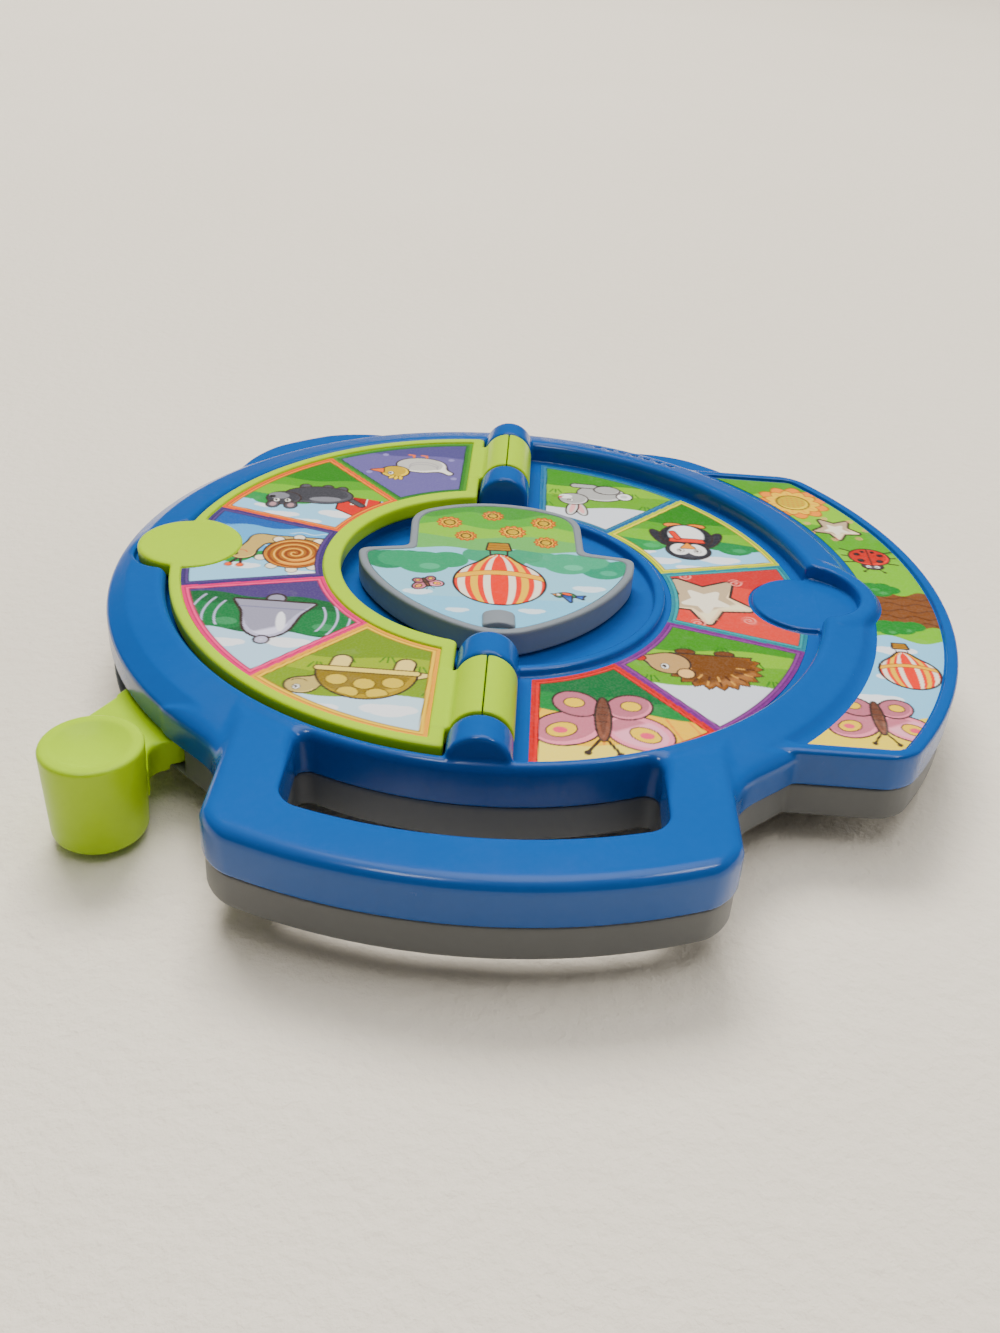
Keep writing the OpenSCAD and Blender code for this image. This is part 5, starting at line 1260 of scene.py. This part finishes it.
def pictures():
    step = 0.36
    page = [("field", m_turtle, (0.97, 0.80, 0.36), (0.93, 0.66, 0.24), 1.02), ("night", m_bell, (0.93, 0.32, 0.52), (0.84, 0.20, 0.44), 0.98),
            ("water", m_snail, (0.32, 0.24, 0.46), (0.24, 0.18, 0.40), 0.98), ("barn", m_mole, (0.96, 0.54, 0.24), (0.88, 0.40, 0.18), 0.90),
            ("dusk", m_chick, (0.24, 0.46, 0.22), (0.34, 0.56, 0.26), 0.86)]
    base = [("corn", m_butterfly, (0.84, 0.22, 0.20), (0.74, 0.14, 0.18), 1.02), ("green", m_hedgehog, (0.50, 0.24, 0.52), (0.42, 0.16, 0.46), 1.05),
            ("coral", m_star, (0.26, 0.60, 0.62), (0.14, 0.48, 0.54), 0.95), ("meadow", m_penguin, (0.93, 0.88, 0.36), (0.74, 0.80, 0.30), 0.90),
            ("green", m_rabbit, (0.24, 0.46, 0.60), (0.16, 0.38, 0.56), 0.84)]
    other = [("water", m_whale, (0.30, 0.66, 0.66), (0.18, 0.56, 0.60), 1.0), ("field", m_rabbit, (0.96, 0.56, 0.26), (0.90, 0.44, 0.20), 0.95),
             ("meadow", m_fish, (0.93, 0.36, 0.55), (0.86, 0.26, 0.48), 1.0), ("corn", m_bee, (0.38, 0.28, 0.52), (0.30, 0.22, 0.46), 1.0),
             ("green", m_frog, (0.86, 0.26, 0.22), (0.78, 0.18, 0.20), 1.0)]
    back = [("green", m_drum, (0.36, 0.56, 0.80), (0.24, 0.46, 0.72), 0.92), ("water", m_boat, (0.97, 0.78, 0.34), (0.93, 0.62, 0.22), 0.98),
            ("meadow", m_ladybird, (0.93, 0.36, 0.36), (0.86, 0.24, 0.26), 0.84), ("field", m_bird, (0.44, 0.66, 0.34), (0.34, 0.56, 0.26), 0.86),
            ("barn", m_flower, (0.52, 0.32, 0.60), (0.44, 0.24, 0.54), 0.84)]
    # swap the order so that the first entry is the picture nearest the handle
    for name, node_name, body, spec, x0, ri, ro, hole, out, z1, z0 in (
            ("page_front_print", "page_front_pictures", "page", page, 13.4, 54.2, 96.4, 16.7, 1, PAGE_Z - 0.74, PAGE_Z - 1.0),
            ("page_back_print", "page_back_pictures", "page", back, 13.4, 54.2, 96.4, 16.7, 1, PAGE_Z - PAGE_T + 1.0, PAGE_Z - PAGE_T + 0.74),
            ("base_right_print", "base_pictures_right", "housing", base, 12.6, 55.4, 97.4, 17.2, -1, FLOOR_Z + 0.28, FLOOR_Z + 0.02),
            ("base_left_print", "base_pictures_left", "housing", other, 12.6, 55.4, 97.4, 17.2, 1, FLOOR_Z + 0.28, FLOOR_Z + 0.02)):
        st = step if node_name in ("page_front_pictures", "base_pictures_right") else step * 1.3
        xs, ys = half_ring_grid(x0, ri, ro, hole, out, st)
        # pictures are upright for someone at the far side, so up is towards the handle
        cols = sector_pictures(xs, ys, spec[::-1], x0, ri, ro, out)
        if node_name == "page_back_pictures":
            cols = sector_pictures(-xs, ys, spec[::-1], x0, ri, ro, -1)
        sheet(name, node_name, body, xs, ys, z1, z0, cols)
    # mural on the lobe
    ri, ro = 117.4, LOBE_R - 4.2
    y0, y1 = -88.0, 81.0
    n, m = int(190 / step), int((ro - ri) / step)
    s = np.linspace(0, 1, n)[:, None] * np.ones((1, m))
    t = np.linspace(0, 1, m)[None, :] * np.ones((n, 1))
    r = ri + t * (ro - ri)
    for _ in range(8):
        ys = y0 + s * (y1 - y0)
        bulge = np.where(np.abs(ys) < 23.3, TAB_X + np.sqrt(np.maximum(23.3 ** 2 - ys ** 2, 0)), 0)
        lo = np.maximum(np.sqrt(ri * ri - ys ** 2), bulge)
        hi = np.sqrt(ro * ro - ys ** 2)
        xs = lo + t * (hi - lo)
    xs = -xs
    p = Paint(xs, ys, (0.52, 0.74, 0.28)).frame(0, 0)
    R = np.hypot(xs, ys)
    # sky at the handle end, then a tree trunk, hills and a pink evening sky at the far end
    p.put(-(ys - 22 - 2.0 * np.sin(R * 0.3)), (0.60, 0.82, 0.94))
    for a, q in ((30, 1.3), (45, 1.0), (58, 1.4), (76, 1.2)):
        t0 = math.asin(a / 126)
        p.frame(-(121 + (a % 7)) * math.cos(t0), (121 + (a % 7)) * math.sin(t0), 1.0)
        cloud(p, 0, 0, q)
    p.frame(0, 0)
    p.put(-(ys - 66 - 2.0 * np.sin(R * 0.4)), (0.99, 0.88, 0.46))
    p.put(np.maximum(np.abs(ys - 4 - 1.5 * np.sin(R * 0.5)) - 11, 117 - R), (0.46, 0.29, 0.18))
    for k in (-4, 0, 4, 8, 12):
        p.line(np.maximum(np.abs(ys - k - 0.8 * np.sin(R * 0.7 + k)), np.abs(ys - 4) - 11), (0.34, 0.20, 0.12), 0.7)
    for cy, q in ((15, 1.1), (17, 0.8), (-8, 1.0), (-10, 0.9)):
        p.frame(-124 + (cy % 3) * 2, cy, 1.0)
        bush(p, 0, 0, q, (0.20, 0.50, 0.24))
    p.frame(0, 0)
    p.put(ys + 34 - 2.0 * np.sin(R * 0.35), (0.40, 0.64, 0.24))
    p.put(ys + 52 - 2.0 * np.sin(R * 0.3), (0.58, 0.78, 0.32))
    p.put(ys + 76 - 1.5 * np.sin(R * 0.4), (0.36, 0.60, 0.24))
    for th, rr, fn, sc, turn in ((31.5, 125.5, m_butterfly, 1.0, 0), (17.5, 127.0, m_balloon, 0.70, 0), (-14.0, 127.0, m_ladybird, 0.74, 0),
                                 (-24.0, 126.5, m_star, 0.66, 0), (-34.5, 125.5, m_flower, 0.88, 0)):
        a = math.radians(th)
        p.frame(-rr * math.cos(a), rr * math.sin(a), sc, turn)
        fn(p)
    e = np.minimum(np.minimum(R - ri, ro - R), np.minimum(ys - y0, y1 - ys))
    sheet("lobe_print", "mural_picture", "housing", xs, ys, 29.68, 29.42, p.c)
    # pointer picture
    k = int(2 * math.pi * 36 / step)
    a = np.linspace(0, 2 * math.pi, k, endpoint=False)
    rad = np.linspace(0.02, 60, 1200)
    D = pointer_d(rad[None, :] * np.cos(a)[:, None], rad[None, :] * np.sin(a)[:, None], 2.65)
    lim = rad[np.argmax(D > 0, axis=1)]
    j = int(42 / step)
    t = np.linspace(1 / j, 1, j)[None, :]
    xs, ys = lim[:, None] * np.cos(a)[:, None] * t, lim[:, None] * np.sin(a)[:, None] * t
    p = Paint(xs, ys, (0.62, 0.82, 0.90)).frame(0, 0, 1.0, POINTER_TURN)
    p.put(-(p.v - 22 + 0.0 * p.u), (0.56, 0.80, 0.92))
    for cx, cy, sc in ((-28, 14, 1.0), (24, 20, 0.9), (-10, 29, 0.8), (12, 30, 0.7)):
        cloud(p, cx, cy, sc, (0.90, 0.96, 1.0))
    for cx, cy, sc, c in ((-33, 1, 1.7, (0.24, 0.56, 0.44)), (-22, -2, 1.9, (0.32, 0.64, 0.50)), (34, 0, 1.7, (0.20, 0.50, 0.36)), (23, 1, 2.0, (0.26, 0.58, 0.42)), (-2, -4, 1.8, (0.30, 0.60, 0.46))):
        bush(p, cx, cy, sc, c)
    p.put(p.v + 9.5 - 0.8 * np.sin(p.u * 0.3), (0.46, 0.70, 0.42))
    for k in range(3):
        p.put(p.v + 18 + 8 * k - (1.6 + 0.4 * k) * np.sin(p.u * (0.16 + 0.04 * k) + 1.3 * k), ((0.56, 0.76, 0.36), (0.40, 0.66, 0.32), (0.32, 0.56, 0.28))[k])
    for cx, cy, sc in ((-15, -17, 0.26), (-4, -23, 0.30), (11, -18, 0.24), (17, -27, 0.28), (-14, -31, 0.28), (3, -34, 0.24)):
        p.frame(cx, cy, sc, POINTER_TURN)
        m_flower(p)
    p.frame(-1.0, 7.5, 1.12, POINTER_TURN)
    m_balloon(p)
    p.frame(21, 15, 0.34, POINTER_TURN + 20)
    m_butterfly(p)
    p.frame(-22, 17, 0.34, POINTER_TURN - 15)
    m_bird(p)
    round_sheet("pointer_print", "spinner_picture", "spinner", xs, ys, PAGE_Z - 0.27, PAGE_Z - 0.53, p.c)


top_shell()
bottom_shell()
flip_page()
pointer()
lever()
pictures()

# ---------------------------------------------------------------- finishes of the pieces that stay as they are
finish = {
    "battery_door": GRAY, "battery_door_screw": ZINC, "housing_screws": ZINC, "batteries": CELL, "battery_plates": NICKEL,
    "battery_springs": NICKEL, "circuit_board": BOARD, "sound_chip": RESIN, "reed_switch": GLASSY, "power_switch": BLACK,
    "switch_slider": BLACK, "speaker_frame": ZINC, "speaker_magnet": FERRITE, "speaker_cone": PAPER, "battery_wires": RED,
    "speaker_wires": RED, "hinge_pins": STEEL, "page_magnet": FERRITE, "spinner_shaft": STEEL, "clutch_drum": WHITE,
    "wiper_disc": BRASS, "spinner_bush": BRONZE, "position_board": BOARD, "lever_guard": GRAY, "lever_spring": STEEL,
    "idler_gear": WHITE, "idler_axle": STEEL, "drive_pinion": WHITE, "clutch_spring": STEEL}
for name, mat in finish.items():
    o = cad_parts[name]
    o.data.materials.clear()
    o.data.materials.append(mat)

# ---------------------------------------------------------------- floor, light, camera
fl = bpy.data.meshes.new("floor")
L = 14.0
fl.from_pydata([(-L, -L, 0), (L, -L, 0), (L, L, 0), (-L, L, 0)], [], [(0, 1, 2, 3)])
floor = bpy.data.objects.new("floor", fl)
bpy.context.scene.collection.objects.link(floor)
m, nt, b = new_mat("floor_sheet")
co = nt.nodes.new("ShaderNodeTexCoord").outputs["Object"]
nt.links.new(mix(nt, noise(nt, co, 3.0, 2.0), lin((0.955, 0.915, 0.845)), lin((0.975, 0.94, 0.875))), b.inputs["Base Color"])
b.inputs["Roughness"].default_value = 0.55
bump = node(nt, "ShaderNodeBump", Strength=1.0, Distance=0.0012)
nt.links.new(noise(nt, co, 210.0, 5.0, 0.6), bump.inputs["Height"])
nt.links.new(bump.outputs["Normal"], b.inputs["Normal"])
fl.materials.append(m)


def area(name, loc, target, size, power, color=(1, 1, 1)):
    d = bpy.data.lights.new(name, "AREA")
    d.shape = "RECTANGLE"
    d.size, d.size_y = size
    d.energy = power
    d.color = color
    o = bpy.data.objects.new(name, d)
    o.location = loc
    o.rotation_euler = (Vector(target) - Vector(loc)).to_track_quat("-Z", "Y").to_euler()
    bpy.context.scene.collection.objects.link(o)
    return o


key = area("key", (0.72, -2.6, 3.7), (0, 0, 0), (2.6, 1.7), 300.0, (1.0, 0.97, 0.92))
key.visible_glossy = False
fill = area("fill", (-2.5, -0.2, 1.1), (0, 0, 0), (1.4, 1.4), 20.0, (1.0, 0.99, 0.97))
fill.visible_glossy = False
# two small lamps seen only in the gloss, for the crisp lines along moulded edges
for i, loc in enumerate([(0.35, 1.0, 1.5), (-0.9, 0.5, 1.4)]):
    area("glint_%d" % i, loc, (0, 0, 0), (0.3, 0.3), 6.0 - i).visible_diffuse = False
area("top", (-0.25, -0.15, 1.9), (0, 0, 0), (1.5, 1.5), 14.0, (1.0, 0.985, 0.96))
# a soft ceiling: bright overhead, dim towards the walls
w = bpy.data.worlds.new("room")
bpy.context.scene.world = w
w.use_nodes = True
nt = w.node_tree
gen = nt.nodes.new("ShaderNodeTexCoord").outputs["Generated"]
sep = nt.nodes.new("ShaderNodeSeparateXYZ")
nt.links.new(gen, sep.inputs["Vector"])
bg = nt.nodes["Background"]
nt.links.new(ramp(nt, sep.outputs["Z"], [(0.0, (0.10, 0.095, 0.09)), (0.60, (0.16, 0.155, 0.145)), (0.88, (0.50, 0.49, 0.47)), (0.97, (1.6, 1.57, 1.52))]), bg.inputs["Color"])
bg.inputs["Strength"].default_value = 1.0

az, el, roll, f = -0.0066, 0.561, 0.0691, 1317.75
fwd = np.array([math.sin(az) * math.cos(el), math.cos(az) * math.cos(el), -math.sin(el)])
right = np.array([math.cos(az), -math.sin(az), 0.0])
up = np.cross(right, fwd)
r2 = math.cos(roll) * right + math.sin(roll) * up
u2 = -math.sin(roll) * right + math.cos(roll) * up
turn = np.diag([-1.0, -1.0, 1.0])
fwd, r2, u2 = turn @ fwd, turn @ r2, turn @ u2
cam_d = bpy.data.cameras.new("camera")
cam_d.sensor_fit = "HORIZONTAL"
cam_d.sensor_width = 36.0
cam_d.lens = 36.0 * f / 1000.0
cam_d.clip_start = 0.01
cam = bpy.data.objects.new("camera", cam_d)
bpy.context.scene.collection.objects.link(cam)
M = Matrix.Identity(4)
for i in range(3):
    M[i][0], M[i][1], M[i][2] = r2[i], u2[i], -fwd[i]
M.translation = Vector((-0.00546, 0.3657, 0.2258))
cam.matrix_world = M
bpy.context.scene.camera = cam
